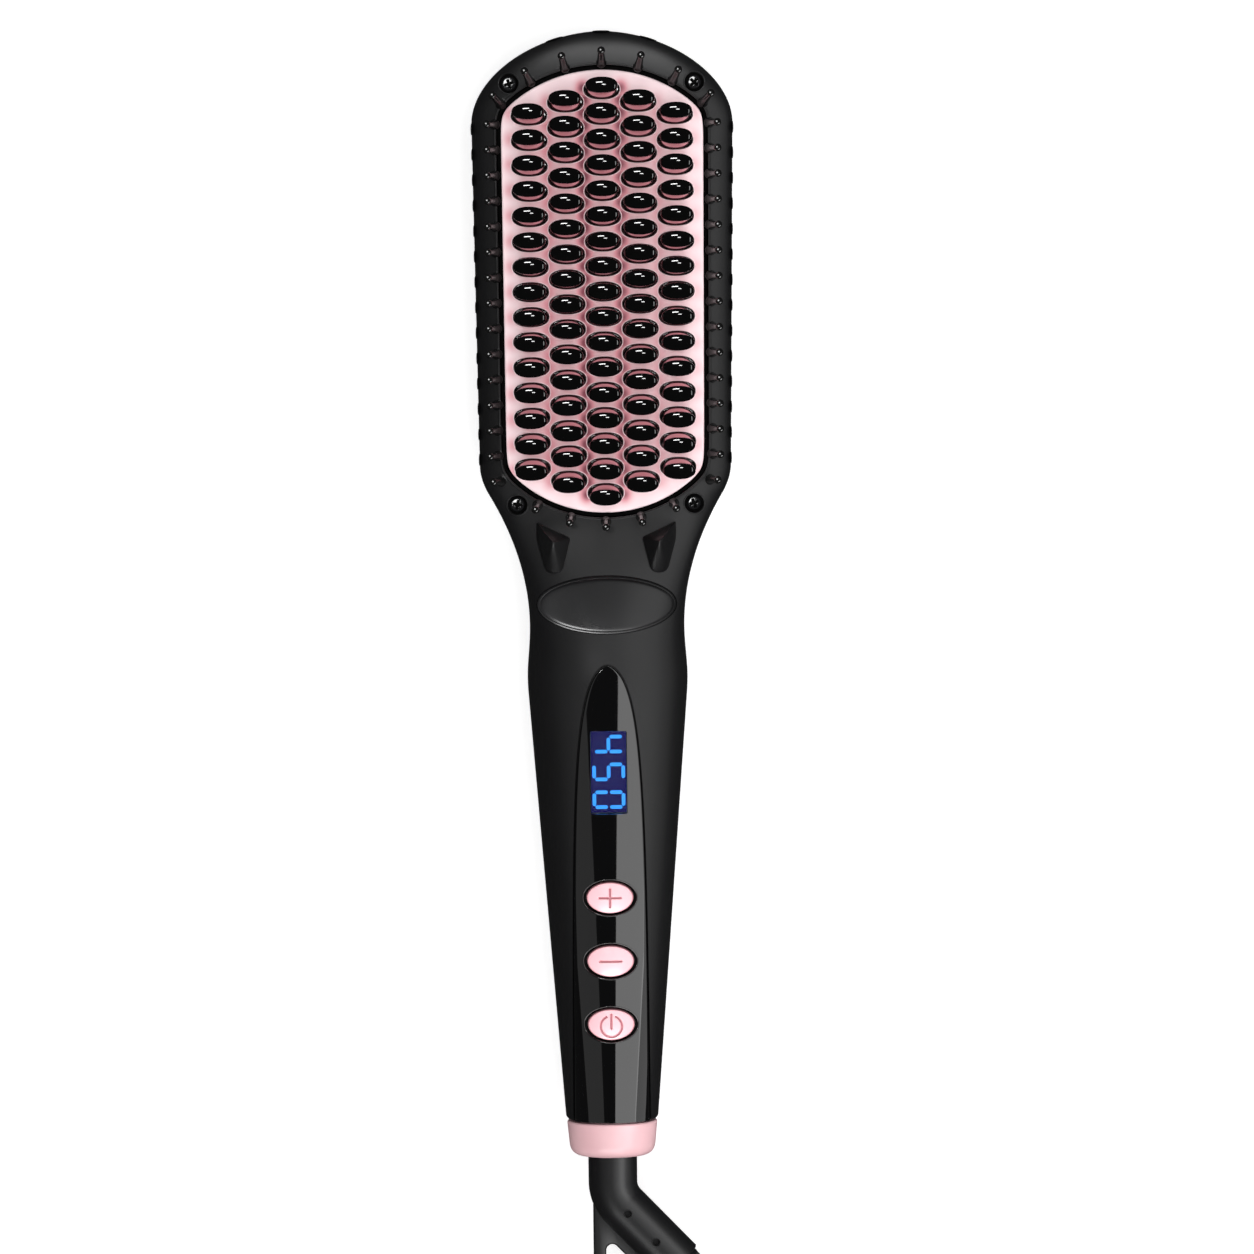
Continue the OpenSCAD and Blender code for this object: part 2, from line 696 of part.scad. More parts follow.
module front_cuts() {
    plate_prism(plate_gap, part_z - 1, part_z + head_rise + 10);
    plate_prism(flange_w + seat_gap, part_z - 1, flange_top + seal_t + seat_gap);
    for (p = head_screw_places)
        translate([p[0], p[1], 0]) {
            translate([0, 0, screw_seat(p)])
                cylinder(r = counterbore_r, h = head_rise);
            translate([0, 0, part_z - 1])
                cylinder(r = screw_r + 0.3, h = head_rise);
        }
    at_pins()
        translate([0, 0, -pin_root - seat_gap])
            cylinder(r = pin_foot_r + slide_gap, h = pin_root + 3, $fn = 32);
    // Recess for the panel
    skin_strip(panel_places(seat_gap, 2), -4, panel_sink);
    // Openings under the panel for the display and the buttons
    deck() {
        translate([-display_w / 2 - 0.4, -display_out - display_l / 2 - 0.4, -14])
            cube([display_w + 0.8, display_l + 0.8, 16]);
        for (y = button_ys)
            translate([0, y, -14])
                linear_extrude(16)
                    polygon(oval(button_a + button_flange + 0.5, button_b + button_flange + 0.5));
        for (y = pcb_boss_ys)
            translate([0, y, pcb_top - 1])
                cylinder(r = 0.9, h = 6);
    }
    for (y = handle_screw_ys)
        translate([0, y, part_z - 1])
            cylinder(r = screw_r + slide_gap, h = 8);
    // Recess for the badge
    skin_strip(pad_places(seat_gap), -3, badge_sink, 10);
}

module front_shell() {
    color("#1b1b1d")
    difference() {
        union() {
            skin_form(1);
            fin();
            mirror([1, 0, 0])
                fin();
            front_bosses();
        }
        front_cuts();
    }
}

// Round boss in the back shell, from inside its wall up to z
module rear_boss(x, y, r, z) {
    base = max([for (a = [0:30:330]) skin_z(x + r * cos(a), y + r * sin(a), 0, -1)]) + 0.5;
    translate([x, y, max(base, 0.8)])
        cylinder(r = r, h = z - max(base, 0.8));
}

module rear_bosses() {
    for (p = head_screw_places)
        rear_boss(p[0], p[1], boss_r, part_z);
    for (y = handle_screw_ys)
        rear_boss(0, y, screw_head_r + 1.5, part_z);
    // Posts that hold the plate's flange up against the rim, and the heat shield's posts
    for (s = [-1, 1])
        for (k = [-1:1])
            rear_boss(s * ((plate_w - plate_taper) / 2 - 0.2), k * plate_l * 0.315, post_r, flange_z);
    for (s = [-1, 1])
        for (k = [-1, 1])
            rear_boss(s * shield_w * 0.3, k * pocket_l / 3, post_r, shield_z);
    // Pad under the contact block
    translate([-block_w / 2 + 0.4, block_y, part_z - end_d / 2 + wall / 2])
        cube([block_w - 0.8, block_l, end_d / 2 - wall / 2 + block_top - block_t]);
}

module rear_shell() {
    color("#1b1b1d")
    difference() {
        union() {
            skin_form(-1);
            rear_bosses();
        }
        translate([-60, end_y - 10, -4])
            cube([120, tip_y - end_y + 20, 4]);
        for (p = head_screw_places)
            translate([p[0], p[1], screw_seat(p) - screw_l - 1])
                cylinder(r = screw_r + slide_gap, h = 20);
        for (y = handle_screw_ys)
            translate([0, y, -1]) {
                cylinder(r = screw_r + 0.3, h = part_z + 2);
                cylinder(r = screw_head_r + 0.3, h = handle_seat + 1);
            }
    }
}

// Trim

module control_panel() {
    color("#050507")
    difference() {
        skin_strip(panel_places(0, 0), -panel_proud, panel_sink - seat_gap);
        deck() {
            translate([-display_w / 2, -display_out - display_l / 2, -14])
                cube([display_w, display_l, 20]);
            for (y = button_ys)
                translate([0, y, -14])
                    linear_extrude(20)
                        polygon(oval(button_a + button_gap, button_b + button_gap));
        }
    }
}

module badge_pad() {
    color("#1b1b1d")
    skin_strip(pad_places(0), -badge_proud, badge_sink - seat_gap, 10);
}

module end_collar() {
    r1 = collar_r;
    r2 = collar_r - collar_draft;
    color("#f0c3c9")
    difference() {
        down_handle(end_y)
            union() {
                rotate_extrude()
                    union() {
                        polygon([[0, 0], [r1, 0], [r2 + 0.1, collar_l - collar_edge],
                                 [r2 - collar_edge, collar_l - collar_edge], [r2 - collar_edge, collar_l],
                                 [0, collar_l]]);
                        intersection() {
                            translate([r2 - collar_edge, collar_l - collar_edge])
                                circle(r = collar_edge);
                            translate([r2 - collar_edge - eps, collar_l - collar_edge - eps])
                                square([collar_edge + 1, collar_edge + 1]);
                        }
                    }
                translate([0, 0, -2.6])
                    cylinder(r = end_d / 2 - wall - air_gap, h = 3);
            }
        down_handle(end_y + 3)
            cylinder(r = bush_r + slide_gap, h = collar_l + 3 - collar_floor);
        down_handle(end_y)
            cylinder(r = tube_r + air_gap, h = collar_l + 2);
    }
}

// Head

module heating_plate() {
    color("#f3cdd2")
    difference() {
        union() {
            intersection() {
                plate_prism(0, flange_z, part_z + plate_rise + 2);
                translate([-60, 0, crown_z])
                    rotate([0, 90, 0])
                        cylinder(r = crown_r, h = 120, $fn = 720);
            }
            plate_prism(flange_w, flange_z, flange_top);
            at_teeth()
                translate([0, 0, -1])
                    linear_extrude(core_h + 1)
                        polygon(oval(core_a, core_a * tooth_ratio, 12));
        }
        difference() {
            translate([-pocket_w / 2, -pocket_l / 2, flange_z - 1])
                cube([pocket_w, pocket_l, pocket_roof - flange_z + 1]);
            for (p = clamp_screw_places)
                translate([p[0], p[1], clamp_z + clamp_t])
                    cylinder(r = clamp_boss_r, h = 10);
        }
        for (p = clamp_screw_places)
            translate([p[0], p[1], flange_z - 2])
                cylinder(r = clamp_shank_r + slide_gap, h = pocket_roof - flange_z + 2.6);
    }
}

module tooth_cap() {
    top = cap_skirt + cap_dome;
    intersection() {
        linear_extrude(top + 1)
            polygon(oval(cap_a, cap_a * tooth_ratio, 12));
        translate([0, 0, top - dome_r])
            sphere(r = dome_r);
    }
}

module tooth_caps() {
    color("#060606")
    at_teeth()
        translate([0, 0, core_h])
            tooth_cap();
}

module plate_gasket() {
    color("#0b0b0c")
    difference() {
        union() {
            plate_prism(plate_gap - slide_gap, flange_top, flange_top + lip_h);
            plate_prism(flange_w - slide_gap, flange_top, flange_top + seal_t);
        }
        plate_prism(slide_gap, flange_top - 1, flange_top + 4);
    }
}

module edge_pins() {
    color("#0b0b0c")
    at_pins() {
        translate([0, 0, -pin_root])
            cylinder(r = pin_foot_r, h = pin_root + 1.2);
        translate([0, 0, 1.2 - eps])
            cylinder(r1 = pin_foot_r, r2 = pin_neck_r, h = pin_l - 1.2 - pin_ball_r);
        translate([0, 0, pin_l - pin_ball_r])
            sphere(r = pin_ball_r);
    }
}

module head_screws() {
    color("#3a3a3d")
    for (p = head_screw_places)
        translate([p[0], p[1], screw_seat(p)])
            cross_screw(screw_r, screw_head_r, screw_head_h, screw_l);
}

module handle_screws() {
    color("#3a3a3d")
    for (y = handle_screw_ys)
        translate([0, y, handle_seat])
            mirror([0, 0, 1])
                cross_screw(screw_r, screw_head_r, screw_head_h, part_z - handle_seat + 5);
}

// Heater

module heater_element() {
    color("#c9b27a")
    for (s = [-1, 1])
        translate([s * (element_w + element_gap) / 2 - element_w / 2, -pocket_l / 2 + 2, element_z])
            cube([element_w, pocket_l - 4, element_t]);
}

module mica_sheet() {
    color("#d8c79a")
    translate([-mica_w / 2, -pocket_l / 2 + 1, mica_z])
        cube([mica_w, pocket_l - 2, mica_t]);
}

module heater_clamp() {
    color("#b9bcc0")
    difference() {
        union() {
            translate([-clamp_w / 2, -pocket_l / 2 + 3, clamp_z])
                cube([clamp_w, pocket_l - 6, clamp_t]);
            for (k = [-1, 1])
                translate([-bridge_w / 2, k * (pocket_l / 2 - clamp_screw_in) - 3, clamp_z])
                    cube([bridge_w, 6, clamp_t]);
        }
        for (p = clamp_screw_places)
            translate([p[0], p[1], clamp_z - 1])
                cylinder(r = clamp_shank_r + 0.3, h = clamp_t + 2);
    }
}

module clamp_screws() {
    color("#8f9296")
    for (p = clamp_screw_places)
        translate([p[0], p[1], clamp_z])
            mirror([0, 0, 1])
                cross_screw(clamp_shank_r, clamp_head_r, clamp_head_h, pocket_roof - clamp_z);
}

module insulation_pad() {
    color("#e9e6da")
    difference() {
        translate([-pad_w / 2, -pocket_l / 2 + 4, pad_z])
            cube([pad_w, pocket_l - 8, pad_t]);
        // Room for the sensors and their wires
        translate([-pad_w / 8, -pocket_l / 2 + 3, clamp_z - 2 * fuse_r])
            cube([pad_w / 4, 30, 2 * fuse_r + 1]);
        // Room for the clamp's screws
        for (p = clamp_screw_places)
            translate([p[0], p[1], clamp_z - clamp_head_h - air_gap])
                cylinder(r = clamp_head_r + air_gap, h = clamp_head_h + 1);
    }
}

module heat_shield() {
    color("#d0d3d6")
    translate([-shield_w / 2, -pocket_l / 2 + 2, shield_z])
        cube([shield_w, pocket_l - 4, shield_t]);
}

module thermistor() {
    color("#1d5f3a")
    translate([-sensor_x, sensor_y + 2, clamp_z - thermistor_r])
        rotate([-90, 0, 0])
            cylinder(r = thermistor_r, h = thermistor_l);
}

module thermal_fuse() {
    color("#c8c8cc")
    translate([sensor_x, sensor_y, clamp_z - fuse_r])
        rotate([-90, 0, 0])
            cylinder(r = fuse_r, h = fuse_l);
}

// The leads pass under the plate's flange, down to the terminal under the board's head
module heater_leads() {
    z0 = clamp_z - fuse_r - 0.2;
    y1 = bulge_y + pcb_head + 0.6;
    fall = (flange_z - air_gap - wire_r - z0) / (sensor_y - plate_heel_y + flange_w);
    color("#b03030")
    for (s = [-1, 1]) {
        y0 = s > 0 ? sensor_y - 0.4 : sensor_y + 1.6;
        rod([s * sensor_x, y0, z0], [s * pcb_w * 0.32, y1, z0 + fall * (y0 - y1)], wire_r);
    }
}

// Display

module display_window() {
    top = bulge_y - display_out * cos(deck_tilt) + display_l / 2 - 0.2;
    half = display_w / 2 - slide_gap;
    color("#10104a")
    skin_strip([[top, half], [top - display_l / 2 + 0.2, half], [top - display_l + 0.4, half]],
               0.05 - panel_proud, panel_sink + 0.2, 4);
}

module display_module() {
    color("#05052e")
    deck()
        translate([-display_w / 2 + 0.2, -display_out - display_l / 2 + 0.2, pcb_top])
            cube([display_w - 0.4, display_l - 0.4, module_top - pcb_top]);
}

// Bars of a figure, in the order top, middle, bottom, top left, bottom left, top right, bottom right
module figure(lit) {
    x = digit_w / 2 - bar_w / 2;
    y = digit_h / 2 - bar_w / 2;
    flat = digit_w - bar_w - 0.3;
    tall = digit_h / 2 - bar_w / 2 - 0.3;
    places = [[0, y, flat, bar_w], [0, 0, flat, bar_w], [0, -y, flat, bar_w],
              [-x, y / 2, bar_w, tall], [-x, -y / 2, bar_w, tall],
              [x, y / 2, bar_w, tall], [x, -y / 2, bar_w, tall]];
    for (i = [0:6])
        if (lit[i] > 0)
            translate([places[i][0] - places[i][2] / 2, places[i][1] - places[i][3] / 2, 0])
                cube([places[i][2], places[i][3], 0.15]);
}

module display_digits() {
    four = [0, 1, 0, 1, 0, 1, 1];
    five = [1, 1, 1, 1, 0, 0, 1];
    zero = [1, 0, 1, 1, 1, 1, 1];
    shown = [four, five, zero];
    color("#1f8fff")
    deck()
        translate([0, -display_out, module_top])
            rotate([0, 0, -90])
                for (i = [0:2])
                    translate([(i - 1) * digit_pitch, 0, 0])
                        figure(shown[i]);
}

// Buttons

// Cap of a button with its flange; the top follows the panel's round
module button_cap(i) {
    y = button_ys[i];
    world_y = bulge_y + y * cos(deck_tilt);
    w = half_w(world_y, 0);
    h = height(world_y, 0, 1);
    top_r = w * w / h;
    difference() {
        union() {
            intersection() {
                translate([0, 0, -flange_deep - eps])
                    linear_extrude(flange_deep + 2)
                        polygon(oval(button_a, button_b));
                translate([0, -10, panel_proud - top_r + 0.1])
                    rotate([-90, 0, 0])
                        cylinder(r = top_r, h = 20, $fn = 128);
            }
            translate([0, 0, -flange_deep - 0.8])
                linear_extrude(0.8)
                    polygon(oval(button_a + button_flange, button_b + button_flange));
        }
        children();
    }
}

module button_at(i) {
    color("#f2c4ca")
    deck()
        translate([0, button_ys[i], 0])
            button_cap(i)
                translate([0, 0, panel_proud - 0.2])
                    children();
}

module button_plus() {
    button_at(0)
        union() {
            translate([-2.7, -0.2, 0])
                cube([5.4, 0.4, 2]);
            translate([-0.2, -2.4, 0])
                cube([0.4, 4.8, 2]);
        }
}

module button_minus() {
    button_at(1)
        translate([-2.7, -0.2, 0])
            cube([5.4, 0.4, 2]);
}

module button_power() {
    button_at(2)
        union() {
            difference() {
                cylinder(r = 2.8, h = 2);
                translate([0, 0, -1])
                    cylinder(r = 2.4, h = 4);
                translate([-0.8, 0, -1])
                    cube([1.6, 4, 4]);
            }
            translate([-0.2, -0.6, 0])
                cube([0.4, 3.6, 2]);
        }
}

module plunger_at(i) {
    color("#e8e8e8")
    deck()
        translate([0, button_ys[i], switch_top - 1])
            cylinder(r = plunger_r, h = -flange_deep - 0.8 - switch_top + 1);
}

module plunger_plus() { plunger_at(0); }
module plunger_minus() { plunger_at(1); }
module plunger_power() { plunger_at(2); }

module tact_switches() {
    color("#2b2b2e")
    deck()
        for (y = button_ys)
            translate([0, y, pcb_top])
                difference() {
                    translate([-switch_w / 2, -switch_w / 2, 0])
                        cube([switch_w, switch_w, switch_h]);
                    translate([0, 0, switch_h - 1 - button_travel - 0.3])
                        cylinder(r = plunger_r + slide_gap, h = 4);
                }
}

// Circuit board

module control_pcb() {
    color("#1f6b3b")
    deck()
        difference() {
            translate([-pcb_w / 2, pcb_end, pcb_top - pcb_t])
                cube([pcb_w, pcb_head - pcb_end, pcb_t]);
            for (y = pcb_boss_ys)
                translate([0, y, pcb_top - pcb_t - 1])
                    cylinder(r = 1.1, h = pcb_t + 2);
        }
}

module pcb_parts() {
    under = pcb_top - pcb_t;
    color("#3b3b40")
    deck() {
        // Terminal of the heater's leads
        translate([1 - pcb_w / 2, pcb_head - terminal_l, under - terminal_h])
            cube([pcb_w - 2, terminal_l, terminal_h]);
        translate([-5, -display_out - 6, under - 1.4])
            cube([10, 8, 1.4]);
        translate([-5.5, button_ys[0] - 4, under - 4.4])
            cube([4.5, 10, 4.4]);
        translate([3.2, button_ys[1] + 3, under - 6])
            cylinder(r = 2.6, h = 6);
        translate([-6, button_ys[1] - 2, under - 3.2])
            cube([5, 6, 3.2]);
    }
}

module pcb_screws() {
    color("#8f9296")
    deck()
        for (y = pcb_boss_ys)
            translate([0, y, pcb_top - pcb_t])
                mirror([0, 0, 1])
                    cross_screw(0.85, 1.9, 1.1, pcb_t + 4);
}

// Swivel

// The bent stretch of a round tube, between the handle's line and the arm
module knee(r) {
    translate([bend_r, knee_y + bend_in, part_z])
        rotate([0, 0, 180])
            rotate_extrude(angle = bend)
                translate([bend_r, 0])
                    circle(r = r);
}

module swivel_elbow() {
    color("#161618")
    difference() {
        union() {
            down_handle(spigot_end_y)
                cylinder(r = spigot_r, h = spigot_l + 1);
            down_handle(shoulder_gap_y)
                cylinder(r = tube_r, h = shoulder_gap_y - knee_y - bend_in + knee_lap);
            knee(tube_r + knee_swell);
            arm()
                translate([0, 0, bend_in - knee_lap])
                    cylinder(r = tube_r, h = arm_l - bend_in + knee_lap);
            translate([0, 0, part_z - loop_t / 2])
                linear_extrude(loop_t)
                    loop_outline();
        }
        // Passage through spigot, bend and arm
        down_handle(spigot_end_y + 1)
            cylinder(r = passage_r, h = spigot_end_y + 1 - knee_y - bend_in + knee_lap);
        knee(passage_r + knee_swell);
        arm()
            translate([0, 0, bend_in - knee_lap])
                cylinder(r = passage_r, h = arm_l + 1 - bend_in + knee_lap);
        // Small blind holes in the arm's front
        arm()
            for (d = pit_places)
                translate([0, 0, d])
                    rotate([-90, 0, 0])
                        translate([0, 0, tube_r - pit_deep])
                            cylinder(r = pit_r, h = pit_deep + 1, $fn = 24);
        arm()
            for (p = back_pits)
                translate([0, 0, p[0]])
                    rotate([0, 0, p[1]])
                        rotate([90, 0, 0])
                            translate([0, 0, tube_r - pit_deep])
                                cylinder(r = p[2], h = pit_deep + 1, $fn = 24);
        // Groove for the clip
        down_handle(clip_y + clip_t + 0.1)
            difference() {
                cylinder(r = spigot_r + 1, h = clip_t + 0.2);
                translate([0, 0, -1])
                    cylinder(r = spigot_r - 0.6, h = clip_t + 3);
            }
    }
}

// A place beside the arm: along it from the knee, and across from its middle towards the loop
function beside_arm(along, across) =
    [along * sin(bend) - across * cos(bend), knee_y - along * cos(bend) - across * sin(bend)];

// The hanging loop: a three-cornered frame with a rounded opening
module loop_outline() {
    x = loop_edge + loop_w;
    knee_side = tube_r + loop_web + knee_hole_r;
    top = [x + knee_hole_r, knee_y - (knee_side + (x + knee_hole_r) * cos(bend)) / sin(bend)];
    end = [x + end_hole_r, knee_y - loop_l + loop_w + end_hole_r];
    foot = beside_arm(arm_l - 4.6, tube_r + loop_web + foot_hole_r);
    difference() {
        hull() {
            translate([loop_edge + 2, knee_y - 1.5])
                circle(r = 2, $fn = 32);
            translate(end)
                circle(r = end_hole_r + loop_w, $fn = 64);
            translate(foot)
                circle(r = foot_hole_r + 2.7, $fn = 32);
        }
        hull() {
            translate(top)
                circle(r = knee_hole_r, $fn = 32);
            translate(end)
                circle(r = end_hole_r, $fn = 32);
            translate(foot)
                circle(r = foot_hole_r, $fn = 32);
        }
    }
}

module strain_relief() {
    l = rib_rows * rib_pitch + rib_t;
    color("#161618")
    arm()
        translate([0, 0, arm_l])
            difference() {
                union() {
                    cylinder(r = guard_core_r, h = l + 1.2);
                    for (i = [0:rib_rows])
                        translate([0, 0, i * rib_pitch])
                            cylinder(r = rib_r - 0.08 * i, h = rib_t);
                    for (i = [0:rib_rows - 1])
                        rotate([0, 0, 45 * (i % 2)])
                            for (a = [0, 90])
                                rotate([0, 0, a])
                                    translate([-(rib_r - 0.08 * i - 0.15), -web_w / 2, i * rib_pitch + rib_t - eps])
                                        cube([2 * (rib_r - 0.08 * i - 0.15), web_w,
                                              rib_pitch - rib_t + 2 * eps]);
                }
                translate([0, 0, -1])
                    cylinder(r = cord_bore_r, h = l + 4);
            }
}

module slip_rings() {
    color("#c9a24a")
    for (y = ring_ys)
        down_handle(y + ring_l / 2)
            difference() {
                cylinder(r = spigot_r + ring_out, h = ring_l);
                translate([0, 0, -1])
                    cylinder(r = spigot_r, h = ring_l + 2);
            }
}

module retaining_clip() {
    color("#b9bcc0")
    down_handle(clip_y + clip_t)
        difference() {
            cylinder(r = spigot_r + 1.5, h = clip_t);
            translate([0, 0, -1])
                cylinder(r = spigot_r - 0.55, h = clip_t + 2);
            translate([0, -3, -1])
                cube([10, 6, clip_t + 2]);
        }
}

module swivel_bush() {
    color("#d9d6cc")
    down_handle(bush_y + bush_l)
        difference() {
            cylinder(r = bush_r, h = bush_l);
            translate([0, 0, -1])
                cylinder(r = spigot_r + spigot_gap, h = bush_l + 2);
        }
}

module contact_block() {
    color("#ece9df")
    translate([-block_w / 2, block_y, part_z + block_top - block_t])
        cube([block_w, block_l, block_t]);
}

module contact_springs() {
    color("#c9a24a")
    for (y = ring_ys)
        translate([-3, y - 0.5, part_z + block_top])
            cube([6, 1, 0.45]);
}

module mains_leads() {
    y0 = block_y + block_l + mains_wire_r;
    z0 = part_z + block_top - block_t / 2;
    tail = pcb_end + 1.5;
    y1 = bulge_y + tail * cos(deck_tilt);
    z1 = part_z + bulge_rise + tail * sin(deck_tilt) + pcb_top - pcb_t - 1;
    // They pass on both sides of the handle screw's boss
    side = screw_head_r + 1.5 + mains_wire_r + air_gap;
    color("#b03030")
    for (s = [-1, 1]) {
        knee = [s * side, y0 + 2.2, z0 + 2];
        rod([s * 2.3, y0, z0], knee, mains_wire_r);
        rod(knee, [s * side, y1, z1], mains_wire_r);
        translate(knee)
            sphere(r = mains_wire_r + 0.1, $fn = 48);
    }
}

front_shell();
rear_shell();
control_panel();
badge_pad();
end_collar();
heating_plate();
tooth_caps();
plate_gasket();
edge_pins();
head_screws();
handle_screws();
heater_element();
mica_sheet();
heater_clamp();
clamp_screws();
insulation_pad();
heat_shield();
thermistor();
thermal_fuse();
heater_leads();
display_window();
display_digits();
display_module();
button_plus();
button_minus();
button_power();
plunger_plus();
plunger_minus();
plunger_power();
tact_switches();
control_pcb();
pcb_parts();
pcb_screws();
swivel_elbow();
strain_relief();
slip_rings();
retaining_clip();
swivel_bush();
contact_block();
contact_springs();
mains_leads();
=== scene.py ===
"""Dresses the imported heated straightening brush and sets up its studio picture.

Sizes in the classes are millimetres in the part's own frame, unless a name says otherwise.
"""

import logging
import math
from dataclasses import dataclass, field
from enum import Enum

import bpy
import numpy as np
from mathutils import Matrix, Vector


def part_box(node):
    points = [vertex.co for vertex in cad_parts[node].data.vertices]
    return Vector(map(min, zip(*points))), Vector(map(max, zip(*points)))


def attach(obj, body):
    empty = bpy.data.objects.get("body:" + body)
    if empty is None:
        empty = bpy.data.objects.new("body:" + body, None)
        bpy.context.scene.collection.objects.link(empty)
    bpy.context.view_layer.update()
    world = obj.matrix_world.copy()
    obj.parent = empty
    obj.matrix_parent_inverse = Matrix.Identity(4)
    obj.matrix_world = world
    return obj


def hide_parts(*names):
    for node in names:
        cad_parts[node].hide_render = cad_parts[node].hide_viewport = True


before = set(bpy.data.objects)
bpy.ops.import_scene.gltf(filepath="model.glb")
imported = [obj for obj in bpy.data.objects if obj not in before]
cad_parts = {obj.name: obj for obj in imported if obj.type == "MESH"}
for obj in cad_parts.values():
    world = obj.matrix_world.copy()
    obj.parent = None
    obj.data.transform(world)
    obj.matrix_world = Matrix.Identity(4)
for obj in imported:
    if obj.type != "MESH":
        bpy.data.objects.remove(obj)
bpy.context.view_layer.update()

MM = 0.001
BRUSH = "brush"
SWIVEL = "cord_swivel"
LOG = logging.getLogger("brush")

Points = np.ndarray
Faces = list[tuple[int, ...]]
Part = tuple[Points, Faces]


# Small sums

def mix(low: float | np.ndarray, high: float | np.ndarray,
        share: float | np.ndarray) -> float | np.ndarray:
    """Value that lies the given share of the way from low to high."""
    return low + (high - low) * share


def ease(share: float | np.ndarray) -> float | np.ndarray:
    """Smooth step from 0 to 1."""
    held = np.clip(share, 0.0, 1.0)
    return held * held * (3.0 - 2.0 * held)


def arch(share: float | np.ndarray, power: float) -> float | np.ndarray:
    """Quarter of a superellipse: 1 at share 0, and 0 at share 1."""
    return np.power(np.maximum(0.0, 1.0 - np.power(np.clip(share, 0.0, 1.0), power)), 1.0 / power)


def full_turn(count: int) -> np.ndarray:
    """Angles evenly round a circle, in radians."""
    return np.linspace(0.0, 2.0 * math.pi, count, endpoint=False)


def at_height(places: np.ndarray, height: float) -> np.ndarray:
    """Rows of x and y, all laid at one height."""
    return np.column_stack([places, np.full(len(places), height)])


def level_circle(radius: float, count: int, height: float) -> np.ndarray:
    """Points of a level circle round the z axis."""
    turn = full_turn(count)
    return at_height(np.stack([radius * np.cos(turn), radius * np.sin(turn)], axis=1), height)


def oval(half_x: float, half_y: float, count: int, plump: float = 2.0) -> np.ndarray:
    """Points round an oval, anticlockwise.

    Args:
        half_x: Half its width.
        half_y: Half its height.
        count: How many points.
        plump: 2 for an ellipse, and more for fuller corners.

    Returns:
        Rows of x and y.
    """
    cos, sin = np.cos(full_turn(count)), np.sin(full_turn(count))
    size = (np.abs(cos) ** plump + np.abs(sin) ** plump) ** (-1.0 / plump)
    return np.stack([half_x * size * cos, half_y * size * sin], axis=1)


# Mesh making

def loft(rows: Points) -> Part:
    """Closed solid through equal closed loops.

    Args:
        rows: Loops as an array of shape (loops, points, 3).

    Returns:
        The points and faces of the solid.
    """
    loops, count, _ = rows.shape
    faces: Faces = []
    for j in range(loops - 1):
        for k in range(count):
            after = (k + 1) % count
            faces.append((j * count + k, j * count + after, (j + 1) * count + after, (j + 1) * count + k))
    faces.append(tuple(range(count - 1, -1, -1)))
    faces.append(tuple((loops - 1) * count + k for k in range(count)))
    return rows.reshape(-1, 3), faces


def ring(rows: Points) -> Part:
    """Endless solid through equal closed loops, the last joined to the first.

    Args:
        rows: Loops as an array of shape (loops, points, 3).

    Returns:
        The points and faces of the solid.
    """
    loops, count, _ = rows.shape
    faces: Faces = []
    for j in range(loops):
        for k in range(count):
            after, beyond = (k + 1) % count, (j + 1) % loops
            faces.append((j * count + k, j * count + after, beyond * count + after, beyond * count + k))
    return rows.reshape(-1, 3), faces


def gather(parts: list[Part]) -> Part:
    """Several meshes as one.

    Args:
        parts: Points and faces of each mesh.

    Returns:
        The points and faces of all of them together.
    """
    points: list[Points] = []
    faces: Faces = []
    start = 0
    for some_points, some_faces in parts:
        points.append(some_points)
        faces.extend(tuple(k + start for k in face) for face in some_faces)
        start += len(some_points)
    return np.concatenate(points), faces


def placed(part: Part, matrix: Matrix) -> Part:
    """A mesh moved by a matrix whose lengths are millimetres."""
    turn = np.array(matrix, float)
    return part[0] @ turn[:3, :3].T + turn[:3, 3], part[1]


def bead(path: Points, radius: float, count: int = 8, closed: bool = True) -> Part:
    """Round cord laid along a path.

    Args:
        path: Points that the cord's middle follows.
        radius: Radius of the cord.
        count: Corners round it.
        closed: Whether the last point joins the first.

    Returns:
        The points and faces of the cord.
    """
    if closed:
        along = np.roll(path, -1, axis=0) - np.roll(path, 1, axis=0)
    else:
        along = np.gradient(path, axis=0)
    along /= np.linalg.norm(along, axis=1)[:, None]
    side = np.cross(along, [0.0, 0.0, 1.0])
    side /= np.linalg.norm(side, axis=1)[:, None]
    up = np.cross(side, along)
    turn = full_turn(count)
    rows = (path[:, None, :]
            + radius * np.cos(turn)[None, :, None] * side[:, None, :]
            + radius * np.sin(turn)[None, :, None] * up[:, None, :])
    return ring(rows) if closed else loft(rows)


def lathe(profile: Points, count: int = 64) -> Part:
    """Solid turned round the z axis."""
    return loft(np.stack([level_circle(r, count, h) for r, h in profile]))


def rounded_corner(before: np.ndarray, here: np.ndarray, after: np.ndarray, soft: float,
                   steps: int) -> list[tuple[float, float]]:
    """Points of the curve that takes off one corner.

    Args:
        before: Corner before it, as x and y.
        here: The corner itself.
        after: Corner after it.
        soft: How far from the corner the curve starts and ends.
        steps: Points on the curve.

    Returns:
        The curve's points.
    """
    start = here + (before - here) / np.linalg.norm(before - here) * soft
    end = here + (after - here) / np.linalg.norm(after - here) * soft
    return [tuple((1 - t) ** 2 * start + 2 * t * (1 - t) * here + t * t * end)
            for t in np.linspace(0.0, 1.0, steps)]


